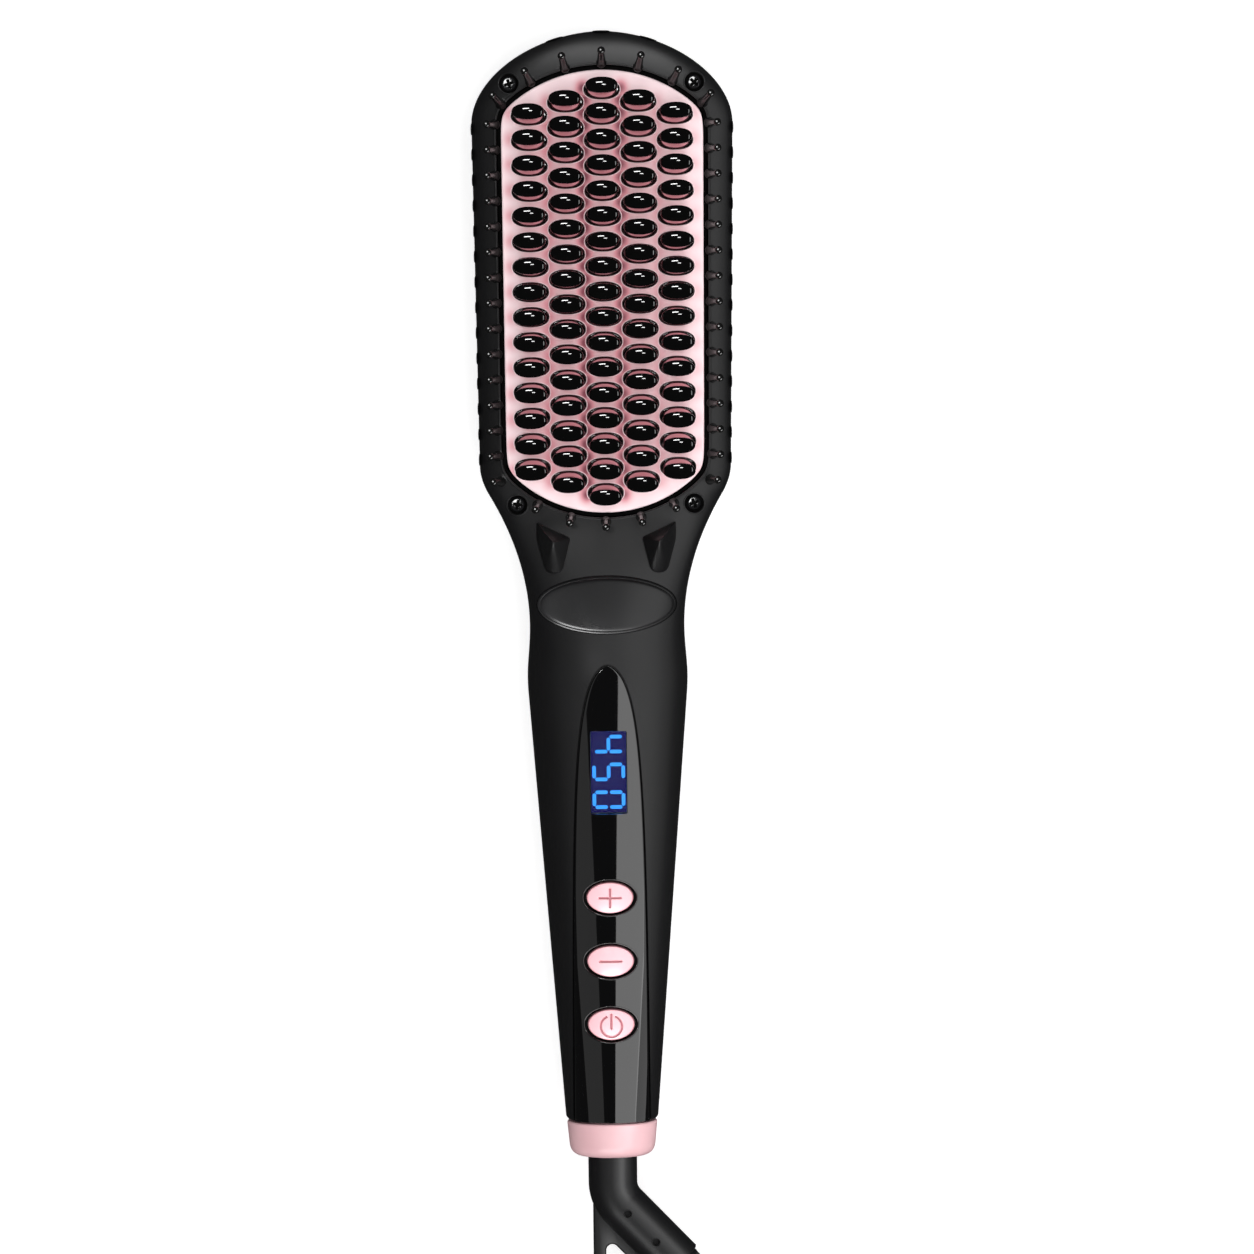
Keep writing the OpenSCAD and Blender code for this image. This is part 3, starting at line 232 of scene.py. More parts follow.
def filleted(corners: list[tuple[float, float, float]], steps: int = 6) -> Points:
    """Outline of a profile with its corners rounded.

    Args:
        corners: Rows of radius, height and the corner's own rounding.
        steps: Points on each rounded corner.

    Returns:
        Rows of radius and height.
    """
    made: list[tuple[float, float]] = []
    for i, (r, h, soft) in enumerate(corners):
        here = np.array([r, h])
        if soft <= 0.0 or i in (0, len(corners) - 1):
            made.append((r, h))
            continue
        before, after = np.array(corners[i - 1][:2]), np.array(corners[i + 1][:2])
        made += rounded_corner(before, here, after, soft, steps)
    return np.array(made)


def add_object(name: str, data: bpy.types.ID) -> bpy.types.Object:
    """Makes an object that shows some data, and links it to the scene.

    Args:
        name: Name of the object.
        data: Its mesh, light or camera.

    Returns:
        The new object.
    """
    made = bpy.data.objects.new(name, data)
    bpy.context.scene.collection.objects.link(made)
    return made


def standing(place: tuple[float, float, float], across: Vector, up: Vector, back: Vector) -> Matrix:
    """Frame at a place whose x, y and z run across, up and back."""
    return Matrix.Translation(place) @ Matrix((across, up, back)).transposed().to_4x4()


def store_share(piece: bpy.types.Object, name: str, values: np.ndarray) -> None:
    """Stores a number at each point of a piece, for its finish to read."""
    store = piece.data.attributes.new(name, "FLOAT", "POINT")
    store.data.foreach_set("value", values.astype(np.float32))


def mesh_object(name: str, part: Part, sharp: float = 40.0) -> bpy.types.Object:
    """Makes a smooth-shaded object from points in millimetres.

    Args:
        name: Name of the piece.
        part: Points and faces.
        sharp: Angle in degrees above which an edge stays sharp.

    Returns:
        The new object, linked to the scene.
    """
    points, faces = part
    mesh = bpy.data.meshes.new(name)
    mesh.from_pydata((points * MM).tolist(), [], [tuple(int(k) for k in face) for face in faces])
    mesh.validate()
    mesh.update()
    made = add_object(name, mesh)
    soften(made, sharp)
    return made


def soften(piece: bpy.types.Object, sharp: float) -> None:
    """Shades a piece smoothly, with edges above an angle in degrees left sharp."""
    piece.data.shade_smooth()
    piece.data.set_sharp_from_angle(angle=math.radians(sharp))


def carve(piece: bpy.types.Object, cutters: list[Part], sharp: float) -> None:
    """Cuts solids out of a piece.

    Args:
        piece: The piece that is cut.
        cutters: Points and faces of each solid.
        sharp: Angle in degrees above which an edge stays sharp.
    """
    tools = [mesh_object(f"{piece.name}_cutter_{i}", part) for i, part in enumerate(cutters)]
    for tool in tools:
        cut = piece.modifiers.new("cut", "BOOLEAN")
        cut.operation, cut.solver, cut.object = "DIFFERENCE", "EXACT", tool
    bpy.context.view_layer.update()
    made = bpy.data.meshes.new_from_object(piece.evaluated_get(bpy.context.evaluated_depsgraph_get()))
    piece.modifiers.clear()
    old = piece.data
    piece.data = made
    bpy.data.meshes.remove(old)
    made.name = piece.name
    for tool in tools:
        bpy.data.objects.remove(tool)
    soften(piece, sharp)


# Form of the body

@dataclass(frozen=True)
class BodyForm:
    """Form of the brush's body, which every shell piece follows.

    Its sizes are those of the part's source.
    """

    part_z: float = 15.0
    head_w: float = 63.8
    heel_w: float = 61.4
    waist_w: float = 37.8
    bulge_w: float = 39.4
    end_d: float = 22.6
    plate_heel_y: float = -53.9
    tip_y: float = 63.5
    shoulder_y: float = 41.4
    heel_y: float = -46.0
    waist_y: float = -82.0
    bulge_y: float = -95.0
    end_y: float = -203.1
    head_rise: float = 10.0
    bulge_rise: float = 15.0
    back_depth: float = 15.0
    land_cut: float = 0.6
    crown_r: float = 900.0
    corner_soft: float = 3.0
    wall: float = 2.4
    head_square: float = 3.0
    bulge_square: float = 2.2
    end_square: float = 2.0
    arch_plan: float = 1.85
    arch_side: float = 2.6
    tuck_l: float = 0.9
    tuck_in: float = 0.45

    def flank(self, y: np.ndarray) -> np.ndarray:
        """Half width before the outline's corners are softened.

        Args:
            y: Places along the brush.

        Returns:
            One value for each place.
        """
        head = mix(self.heel_w, self.head_w, (y - self.heel_y) / (self.shoulder_y - self.heel_y))
        rise = np.clip((y - self.waist_y) / (self.heel_y - self.waist_y), 0.0, 1.0)
        neck = mix(self.waist_w, self.heel_w, rise ** 2)
        bulge = mix(self.bulge_w, self.waist_w, ease((y - self.bulge_y) / (self.waist_y - self.bulge_y)))
        grip = mix(self.end_d, self.bulge_w, (y - self.end_y) / (self.bulge_y - self.end_y))
        return np.select([y > self.heel_y, y > self.waist_y, y > self.bulge_y], [head, neck, bulge], grip) / 2

    def tip_share(self, y: np.ndarray, inset: float) -> np.ndarray:
        """How far a place is from the shoulder to the tip, from 0 to 1."""
        return (y - self.shoulder_y) / (self.tip_y - inset - self.shoulder_y)

    def half_w(self, y: np.ndarray, inset: float = 0.0) -> np.ndarray:
        """Half width of the body, moved in by inset.

        Args:
            y: Places along the brush.
            inset: How far the outline is moved in.

        Returns:
            One value for each place.
        """
        y = np.asarray(y, float)
        soft = np.mean([self.flank(y + k * self.corner_soft / 3) for k in range(-3, 4)], axis=0)
        tip = (self.head_w / 2 - inset) * arch(self.tip_share(y, inset), self.arch_plan)
        return np.select([y > self.shoulder_y, y > self.end_y + self.corner_soft],
                         [tip, soft - inset], self.flank(y) - inset)

    def height(self, y: np.ndarray, inset: float = 0.0, side: int = 1) -> np.ndarray:
        """Height of the front above the parting plane, or depth of the back below it.

        Args:
            y: Places along the brush.
            inset: How far the surface is moved in.
            side: 1 for the front and -1 for the back.

        Returns:
            One value for each place.
        """
        y = np.asarray(y, float)
        neck_top = self.plate_heel_y - 2.0
        along = (y - self.end_y) / (self.bulge_y - self.end_y)
        if side > 0:
            crown = self.head_rise - y * y / (2 * self.crown_r)
            neck = mix(self.bulge_rise, self.head_rise - neck_top ** 2 / (2 * self.crown_r),
                       ease((y - self.bulge_y) / (neck_top - self.bulge_y)))
            rise = np.select([y > neck_top, y > self.bulge_y], [crown, neck],
                             mix(self.end_d / 2, self.bulge_rise, along))
        else:
            deep = self.back_depth + self.land_cut
            rise = np.where(y > self.bulge_y, deep, mix(self.end_d / 2, deep, along))
        tip = np.where(y > self.shoulder_y, arch(self.tip_share(y, inset), self.arch_side), 1.0)
        return (rise - inset) * tip

    def square(self, y: np.ndarray) -> np.ndarray:
        """How square the cross-section is.

        Args:
            y: Places along the brush.

        Returns:
            2 for an ellipse, and more for fuller corners.
        """
        y = np.asarray(y, float)
        neck = mix(self.bulge_square, self.head_square,
                   ease((y - self.bulge_y) / (self.heel_y - self.bulge_y)))
        grip = mix(self.end_square, self.bulge_square, (y - self.end_y) / (self.bulge_y - self.end_y))
        return np.select([y > self.heel_y, y > self.bulge_y], [self.head_square, neck], grip)

    def skin_z(self, x: np.ndarray, y: np.ndarray, inset: float | np.ndarray = 0.0,
               side: int = 1) -> np.ndarray:
        """Height of the front's or back's surface over a place, moved in by inset.

        Args:
            x: Places across the brush.
            y: Places along it.
            inset: How far the surface is moved in.
            side: 1 for the front and -1 for the back.

        Returns:
            One value for each place.
        """
        x, y = np.broadcast_arrays(np.asarray(x, float), np.asarray(y, float))
        n = self.square(y)
        out = np.minimum(1.0, np.abs(x) / self.half_w(y))
        top = self.height(y, 0.0, side) * np.power(np.maximum(0.0, 1 - out ** n), 1 / n)
        return self.part_z + side * (top - inset)

    def laid(self, places: np.ndarray, inset: float = 0.0) -> Points:
        """Rows of x and y laid on the front's surface."""
        return np.column_stack([places, self.skin_z(places[:, 0], places[:, 1], inset)])

    def section(self, y: float, inset: float, side: int, steps: int, seam: float) -> Points:
        """Half of a cross-section from +X over the crest to -X.

        Args:
            y: Place along the brush.
            inset: How far the section is moved in.
            side: 1 for the front and -1 for the back.
            steps: Points on the section, less one.
            seam: Depth of the small step along the parting line.

        Returns:
            The section's points.
        """
        half, rise = float(self.half_w(y, inset)), float(self.height(y, inset, side))
        power = 2.0 / float(self.square(y))
        turn = np.linspace(0.0, math.pi, steps + 1)
        c, s = np.cos(turn), np.maximum(0.0, np.sin(turn))
        x = half * np.sign(c) * np.abs(c) ** power
        z = rise * s ** power
        lip = min(0.22, 0.2 * rise)
        x = np.concatenate([[x[0] - seam], [x[0]], x[1:-1], [x[-1]], [x[-1] + seam]])
        z = np.concatenate([[0.0], [lip], z[1:-1], [lip], [0.0]])
        return np.stack([x, np.full_like(x, y), self.part_z + side * z], axis=1)

    def stations(self, inset: float) -> np.ndarray:
        """Places along the brush from the tip to the grip's end, closest together round the tip.

        Args:
            inset: How far the tip is moved in.

        Returns:
            The places, from the tip down.
        """
        tip_share = 1 - np.cos(np.linspace(0, math.pi / 2, 31)[:-1])
        tip = mix(self.tip_y - inset - 0.004, self.shoulder_y, tip_share)
        head = np.linspace(self.shoulder_y, self.heel_y + 6, 30, endpoint=False)
        heel = np.linspace(self.heel_y + 6, self.heel_y - 6, 16, endpoint=False)
        neck = np.linspace(self.heel_y - 6, self.bulge_y + 4, 36, endpoint=False)
        bulge = np.linspace(self.bulge_y + 4, self.bulge_y - 4, 10, endpoint=False)
        grip = np.linspace(self.bulge_y - 4, self.end_y + self.tuck_l, 38)
        end = self.end_y + self.tuck_l * np.array([0.66, 0.36, 0.14, 0.0])
        return np.concatenate([tip, head, heel, neck, bulge, grip, end])

    def tuck(self, y: float) -> float:
        """How far the outside draws in just above the collar."""
        return self.tuck_in * max(0.0, 1.0 - (y - self.end_y) / self.tuck_l) ** 2

    def shell(self, side: int, steps: int = 80, seam: float = 0.18) -> Part:
        """Hollow half of the body, open at the grip's end.

        Args:
            side: 1 for the front and -1 for the back.
            steps: Points on each cross-section, less one.
            seam: Depth of the small step along the parting line.

        Returns:
            The shell's points and faces.
        """
        outer = [self.section(y, self.tuck(y), side, steps, seam) for y in self.stations(0.0)]
        inner = [self.section(y, self.wall, side, steps, 0.0) for y in self.stations(self.wall)]
        for rows in (outer, inner):
            for row in rows:
                if side < 0:
                    row[:, 2] = np.maximum(row[:, 2], 0.0 if rows is outer else self.wall)
        rows = np.array([np.concatenate([a, b[::-1]]) for a, b in zip(outer, inner)])
        return loft(rows if side < 0 else rows[:, ::-1])


FORM = BodyForm()


@dataclass(frozen=True)
class PlateForm:
    """Outline and crown of the heating plate, and the places of its teeth."""

    half_tip: float = 24.7
    half_heel: float = 24.0
    tip_y: float = 53.9
    heel_y: float = -53.9
    tip_r: float = 34.0
    heel_r: float = 32.0
    crown_r: float = 900.0
    top_z: float = 24.0
    row_pitch: float = 6.2
    column_pitch: float = 8.95
    corner: float = 24.0
    plump: float = 2.28

    def half_w(self, y: np.ndarray, grow: float) -> np.ndarray:
        """Half width of the outline, grown outwards.

        Args:
            y: Places along the plate.
            grow: How far the outline is moved out.

        Returns:
            One value for each place.
        """
        y = np.asarray(y, float)
        side = mix(self.half_heel + grow, self.half_tip + grow,
                   (y - self.heel_y + grow) / (self.tip_y - self.heel_y + 2 * grow))
        tip_arc, heel_arc = self.tip_y - self.tip_r, self.heel_y + self.heel_r
        tip = np.sqrt(np.maximum(0.0, (self.tip_r + grow) ** 2 - np.maximum(0.0, y - tip_arc) ** 2))
        heel = np.sqrt(np.maximum(0.0, (self.heel_r + grow) ** 2 - np.maximum(0.0, heel_arc - y) ** 2))
        least = np.minimum(side, np.minimum(tip, heel))
        shares = sum((least / np.maximum(edge, 1e-6)) ** self.corner for edge in (side, tip, heel))
        return least * np.power(np.maximum(shares, 1.0), -1.0 / self.corner)

    def rows(self, grow: float, count: int) -> np.ndarray:
        """Places along the plate, closest together at its ends.

        Args:
            grow: How far the outline is moved out.
            count: How many places.

        Returns:
            The places, from the heel to the tip.
        """
        share = (1 - np.cos(np.linspace(0.0, math.pi, count))) / 2
        share = 0.6 * share + 0.4 * np.linspace(0.0, 1.0, count)
        return mix(self.heel_y - grow, self.tip_y + grow, np.clip(share, 0.0002, 0.9998))

    def outline(self, grow: float, count: int = 150) -> np.ndarray:
        """Closed outline as rows of x and y.

        Args:
            grow: How far the outline is moved out.
            count: Points on each side.

        Returns:
            The outline's points.
        """
        y = self.rows(grow, count)
        half = self.half_w(y, grow)
        return np.concatenate([np.stack([half, y], axis=1), np.stack([-half[::-1], y[::-1]], axis=1)])

    def crown(self, y: np.ndarray) -> np.ndarray:
        """Height of the plate's face."""
        return self.top_z - self.crown_r + np.sqrt(self.crown_r ** 2 - np.asarray(y, float) ** 2)

    def teeth(self) -> list[tuple[float, float]]:
        """Places of the 79 teeth, in five staggered columns.

        Returns:
            The place of each tooth, column by column.
        """
        made = []
        for column in range(-2, 3):
            count = 17 - abs(column)
            made += [(column * self.column_pitch, (i - (count - 1) / 2) * self.row_pitch)
                     for i in range(count)]
        return made

    def on_crown(self, x: float, y: float) -> Matrix:
        """Frame that stands square on the plate's face at a place.

        Args:
            x: Place across the plate.
            y: Place along it.

        Returns:
            The frame, with z out of the plate.
        """
        lean = Matrix.Rotation(-math.asin(y / self.crown_r), 4, "X")
        foot = Matrix.Translation((0.0, 0.0, self.top_z - self.crown_r))
        return foot @ lean @ Matrix.Translation((x, 0.0, self.crown_r))


PLATE = PlateForm()


@dataclass(frozen=True)
class DeckForm:
    """The crest line of the grip, which carries the display and the buttons."""

    start: tuple[float, float, float] = (0.0, -95.0, 30.0)
    grip_l: float = 108.1
    fall: float = 3.7
    panel_w: float = 18.6
    nose: float = 4.1
    nose_l: float = 10.6
    proud: float = 0.25
    sink: float = 1.2

    def matrix(self) -> Matrix:
        """Frame of the deck: x across, y up the handle, z out of the crest."""
        return Matrix.Translation(self.start) @ Matrix.Rotation(self.tilt(), 4, "X")

    def at(self, y: float) -> Matrix:
        """Frame of the deck, moved along the handle."""
        return self.matrix() @ Matrix.Translation((0, y, 0))

    def tilt(self) -> float:
        """Angle of the deck in radians."""
        return math.atan(self.fall / self.grip_l)

    def world_y(self, y: float) -> float:
        """World y of a place on the deck."""
        return self.start[1] + y * math.cos(self.tilt())

    def panel_half(self, t: np.ndarray) -> np.ndarray:
        """Half width of the panel at a distance t from its nose."""
        return self.panel_w / 2 * (1 - np.exp(-np.power(np.maximum(t, 0.0) / self.nose_l, 0.63)))

    def panel_places(self, grow: float, past: float, count: int = 90) -> np.ndarray:
        """Rows of y and half width from the nose to the collar.

        Args:
            grow: How far the outline is moved out.
            past: How far it runs on past the collar.
            count: How many rows.

        Returns:
            The rows.
        """
        length = self.grip_l + self.nose
        run = mix(0.01, length, np.linspace(0.0, 1.0, count) ** 2.4)
        y = self.start[1] + self.nose + grow - run
        half = self.panel_half(run) + grow
        y[-1] = self.start[1] - self.grip_l - past
        return np.stack([y, half], axis=1)


DECK = DeckForm()


def strip(places: np.ndarray, top: float, bottom: float, soft: float = 0.0, across: int = 24) -> Part:
    """Piece of the front's skin between two depths, with softened top edges.

    Args:
        places: Rows of y and half width.
        top: Depth of the top under the skin; negative stands proud.
        bottom: Depth of the underside.
        soft: Radius of the rounding along the top edges.
        across: Spaces across the strip.

    Returns:
        The points and faces of the strip.
    """
    rows = []
    base = np.linspace(1.0, -1.0, across + 1)
    for y, half in places:
        edge = min(soft, 0.8 * half) if soft > 0 else 0.0
        if edge > 0:
            out = edge * np.array([0.0, 0.1, 0.3, 0.6, 1.0])
            drop = edge * (1 - np.sqrt(np.maximum(0.0, 1 - (1 - out / edge) ** 2)))
            inner = (half - edge) * base[1:-1]
            x = np.concatenate([half - out, inner, -(half - out)[::-1]])
            fall = np.concatenate([drop, np.zeros(len(inner)), drop[::-1]])
        else:
            x, fall = half * base, np.zeros(across + 1)
        upper = np.stack([x, np.full_like(x, y), FORM.skin_z(x, y, 0.0) - top - fall], axis=1)
        lower = np.stack([x[::-1], np.full_like(x, y), FORM.skin_z(x[::-1], y, 0.0) - bottom], axis=1)
        rows.append(np.concatenate([upper, lower]))
    return loft(np.array(rows))


def prism(outline: np.ndarray, low: float, high: float) -> Part:
    """Straight prism over an outline of x and y."""
    return loft(np.array([at_height(outline, z) for z in (low, high)]))


# Finishes

Colour = tuple[float, float, float]


class Surface(Enum):
    """Which way a surface's grain runs."""

    EVEN = "even"
    BRUSHED = "brushed"


@dataclass(frozen=True)
class Finish:
    """A plastic, painted or metal finish with fine grain and slight unevenness.

    Lengths of the grain are millimetres.
    """

    name: str
    colour: Colour
    roughness: float = 0.4
    metallic: float = 0.0
    specular: float = 0.5
    coat: float = 0.0
    coat_roughness: float = 0.05
    grain: float = 0.15
    grain_mm: float = 0.35
    uneven: float = 0.12
    surface: Surface = Surface.EVEN
    broad_mm: float = 9.0
    bump_mm: float = 0.02
    stretch: float = 0.06

    def material(self) -> bpy.types.Material:
        """Builds the material.

        Returns:
            A node material that depends on nothing but the object's own place.
        """
        made = bpy.data.materials.new(self.name)
        made.use_nodes = True
        tree = made.node_tree
        shader = tree.nodes["Principled BSDF"]
        shader.inputs["Metallic"].default_value = self.metallic
        shader.inputs["Specular IOR Level"].default_value = self.specular
        shader.inputs["Coat Weight"].default_value = self.coat
        shader.inputs["Coat Roughness"].default_value = self.coat_roughness
        place = tree.nodes.new("ShaderNodeTexCoord").outputs["Object"]
        if self.surface is Surface.BRUSHED:
            stretch = tree.nodes.new("ShaderNodeMapping")
            stretch.inputs["Scale"].default_value = (1.0, self.stretch, 1.0)
            tree.links.new(place, stretch.inputs["Vector"])
            place = stretch.outputs["Vector"]
        fine = self.noise(tree, place, 1.0 / (self.grain_mm * MM), 3.0)
        broad = self.noise(tree, place, 1.0 / (self.broad_mm * MM), 2.0)
        self.tint(tree, shader, broad)
        self.scatter(tree, shader, fine)
        bump = tree.nodes.new("ShaderNodeBump")
        bump.inputs["Strength"].default_value = self.grain
        bump.inputs["Distance"].default_value = self.bump_mm * MM
        tree.links.new(fine, bump.inputs["Height"])
        tree.links.new(bump.outputs["Normal"], shader.inputs["Normal"])
        return made

    def noise(self, tree: bpy.types.NodeTree, place: bpy.types.NodeSocket, scale: float,
              detail: float) -> bpy.types.NodeSocket:
        """Adds a noise and returns its height.

        Args:
            tree: Node tree.
            place: Socket of the coordinates.
            scale: Scale of the noise.
            detail: Its detail.

        Returns:
            Socket of the height.
        """
        node = tree.nodes.new("ShaderNodeTexNoise")
        node.inputs["Scale"].default_value = scale
        node.inputs["Detail"].default_value = detail
        tree.links.new(place, node.inputs["Vector"])
        return node.outputs["Fac"]

    def tint(self, tree: bpy.types.NodeTree, shader: bpy.types.Node, source: bpy.types.NodeSocket) -> None:
        """Lets the colour drift a little across the surface.

        Args:
            tree: Node tree.
            shader: The surface shader.
            source: Socket of a noise.
        """
        ramp = tree.nodes.new("ShaderNodeMix")
        ramp.data_type = "RGBA"
        for socket, factor in ((6, 1.0 - self.uneven), (7, 1.0 + self.uneven)):
            ramp.inputs[socket].default_value = (*[min(1.0, c * factor) for c in self.colour], 1.0)
        tree.links.new(source, ramp.inputs[0])
        tree.links.new(ramp.outputs[2], shader.inputs["Base Color"])

    def scatter(self, tree: bpy.types.NodeTree, shader: bpy.types.Node, source: bpy.types.NodeSocket) -> None:
        """Lets the roughness drift with the grain.

        Args:
            tree: Node tree.
            shader: The surface shader.
            source: Socket of a noise.
        """
        span = tree.nodes.new("ShaderNodeMapRange")
        span.inputs["To Min"].default_value = self.roughness * (1.0 - 0.5 * self.uneven)
        span.inputs["To Max"].default_value = self.roughness * (1.0 + 0.5 * self.uneven)
        tree.links.new(source, span.inputs["Value"])
        tree.links.new(span.outputs["Result"], shader.inputs["Roughness"])


@dataclass(frozen=True)
class ShadePaintedFinish(Finish):
    """A pink finish darkened by painted shade where an attribute of the mesh says so."""

    # middle and deep are the tones of painted shade that the attribute calls up
    middle: Colour = (0.80, 0.36, 0.41)
    deep: Colour = (0.30, 0.085, 0.115)
    attribute: str = "painted_tooth_shade"
    drift: float = 0.10
    light_until: float = 0.05
    middle_at: float = 0.55

    def tint(self, tree: bpy.types.NodeTree, shader: bpy.types.Node, source: bpy.types.NodeSocket) -> None:
        """Runs the colour from light over middle to deep as the painted shade in the attribute grows.

        Args:
            tree: Node tree.
            shader: The surface shader.
            source: Socket of a noise.
        """
        painted_shade_node = tree.nodes.new("ShaderNodeAttribute")
        painted_shade_node.attribute_name = self.attribute
        drift = tree.nodes.new("ShaderNodeMath")
        drift.operation = "MULTIPLY_ADD"
        drift.inputs[1].default_value = self.drift
        tree.links.new(source, drift.inputs[0])
        tree.links.new(painted_shade_node.outputs["Fac"], drift.inputs[2])
        ramp = tree.nodes.new("ShaderNodeValToRGB")
        ramp.color_ramp.elements.new(self.middle_at)
        for stop, colour in zip(ramp.color_ramp.elements, (self.colour, self.middle, self.deep)):
            stop.color = (*colour, 1.0)
        ramp.color_ramp.elements[0].position = self.light_until
        tree.links.new(drift.outputs[0], ramp.inputs[0])
        tree.links.new(ramp.outputs[0], shader.inputs["Base Color"])


@dataclass(frozen=True)
class LitFinish(Finish):
    """A surface that gives light of its own."""

    glow: Colour = (0.0, 0.0, 0.0)
    strength: float = 1.0

    def material(self) -> bpy.types.Material:
        """Builds the material with its own light.

        Returns:
            The node material.
        """
        made = super().material()
        shader = made.node_tree.nodes["Principled BSDF"]
        shader.inputs["Emission Color"].default_value = (*self.glow, 1.0)
        shader.inputs["Emission Strength"].default_value = self.strength
        return made


@dataclass(frozen=True)
class LensFinish(Finish):
    """A clear tinted lens."""

    clear: float = 1.0
    bending: float = 1.2

    def material(self) -> bpy.types.Material:
        """Builds the clear material.

        Returns:
            The node material.
        """
        made = super().material()
        shader = made.node_tree.nodes["Principled BSDF"]
        shader.inputs["Transmission Weight"].default_value = self.clear
        shader.inputs["IOR"].default_value = self.bending
        return made


BLACK = (0.0052, 0.0052, 0.0056)
PINK = (0.68, 0.41, 0.435)
PLATE_PINK = (0.99, 0.80, 0.825)

FINISHES: dict[str, Finish] = {
    "black_shell": Finish("satin_black_shell", BLACK, roughness=0.40, specular=0.47, grain=0.10,
                          grain_mm=0.25),
    "gloss_panel": Finish("gloss_black_panel", (0.001, 0.001, 0.0012), roughness=0.05, specular=1.0,
                          grain=0.0, uneven=0.0, coat=1.0, coat_roughness=0.03),
    "badge": Finish("satin_black_badge", BLACK, roughness=0.36, specular=0.52, grain=0.08),
    "pink_collar": Finish("satin_pink_collar", PINK, roughness=0.40, grain=0.06, coat=0.8,
                          coat_roughness=0.3),
    "pink_plate": ShadePaintedFinish("rose_enamel_plate_painted_shade", PLATE_PINK, roughness=0.42, specular=0.22,
                                 grain=0.14, grain_mm=0.3),
    "tooth_black": Finish("gloss_black_caps", (0.0015, 0.0015, 0.0015), roughness=0.06, specular=1.0,
                          grain=0.0, uneven=0.0),
    "seal": Finish("silicone_seal", (0.002, 0.002, 0.002), roughness=0.7, specular=0.08),
    "pin_black": Finish("soft_black_pins", (0.002, 0.002, 0.002), roughness=0.12, specular=0.3,
                        grain=0.0),
    "screw_dark": Finish("blackened_screws", (0.003, 0.003, 0.0033), roughness=0.15, specular=0.5,
                         grain=0.05),
    "screw_bright": Finish("zinc_screws", (0.55, 0.56, 0.57), roughness=0.3, metallic=1.0),
    "ceramic": Finish("heating_ceramic", (0.62, 0.45, 0.2), roughness=0.7, grain=0.4),
    "mica": Finish("mica_sheet", (0.55, 0.45, 0.27), roughness=0.35, uneven=0.3, grain_mm=1.2),
    "clamp_steel": Finish("brushed_clamp", (0.5, 0.51, 0.53), roughness=0.34, metallic=1.0,
                          surface=Surface.BRUSHED),
    "insulation": Finish("fibre_pad", (0.78, 0.75, 0.66), roughness=0.95, grain=0.9, grain_mm=0.6),
    "sensor": Finish("green_bead", (0.02, 0.12, 0.05), roughness=0.25),
    "fuse_metal": Finish("fuse_can", (0.62, 0.62, 0.65), roughness=0.25, metallic=1.0),
    "wire_red": Finish("glass_sleeve_wire", (0.45, 0.03, 0.03), roughness=0.55, grain=0.5,
                       grain_mm=0.3),
    "window": LensFinish("clear_lens", (0.95, 0.95, 1.0), roughness=0.0, grain=0.0, uneven=0.0,
                         specular=0.1),
    "digit_blue": LitFinish("lit_bars", (0.01, 0.10, 0.4), roughness=0.5, specular=0.1, grain=0.0,
                            glow=(0.035, 0.36, 1.0), strength=1.0),
    "display_body": LitFinish("display_field", (0.0, 0.0, 0.03), roughness=0.5, specular=0.1, grain=0.0,
                              glow=(0.0, 0.0, 0.055), strength=1.0),
    "pink_button": ShadePaintedFinish("satin_pink_buttons_painted_shade", (0.72, 0.40, 0.435), roughness=0.36, grain=0.05,
                                  coat=0.5, coat_roughness=0.28, middle=(0.50, 0.20, 0.23),
                                  deep=(0.30, 0.09, 0.11), attribute="painted_groove_shade"),
    "plunger_white": Finish("plunger_white", (0.8, 0.8, 0.8), roughness=0.45),
    "switch_black": Finish("switch_bodies", (0.02, 0.02, 0.022), roughness=0.5),
    "board_green": Finish("board_mask", (0.015, 0.13, 0.04), roughness=0.35, uneven=0.25),
    "part_grey": Finish("moulded_components", (0.05, 0.05, 0.06), roughness=0.45),
    "swivel_black": Finish("satin_black_swivel", (0.0055, 0.0055, 0.006), roughness=0.36, specular=0.5,
                           grain=0.12, grain_mm=0.25),
    "guard_black": Finish("rubber_black_guard", (0.005, 0.005, 0.0055), roughness=0.45, specular=0.4,
                          grain=0.2),
    "contact_brass": Finish("contact_brass", (0.72, 0.48, 0.16), roughness=0.25, metallic=1.0),
    "clip_steel": Finish("spring_steel", (0.5, 0.51, 0.53), roughness=0.3, metallic=1.0,
                         surface=Surface.BRUSHED),
    "bush_white": Finish("acetal_bush", (0.7, 0.68, 0.6), roughness=0.4),
}


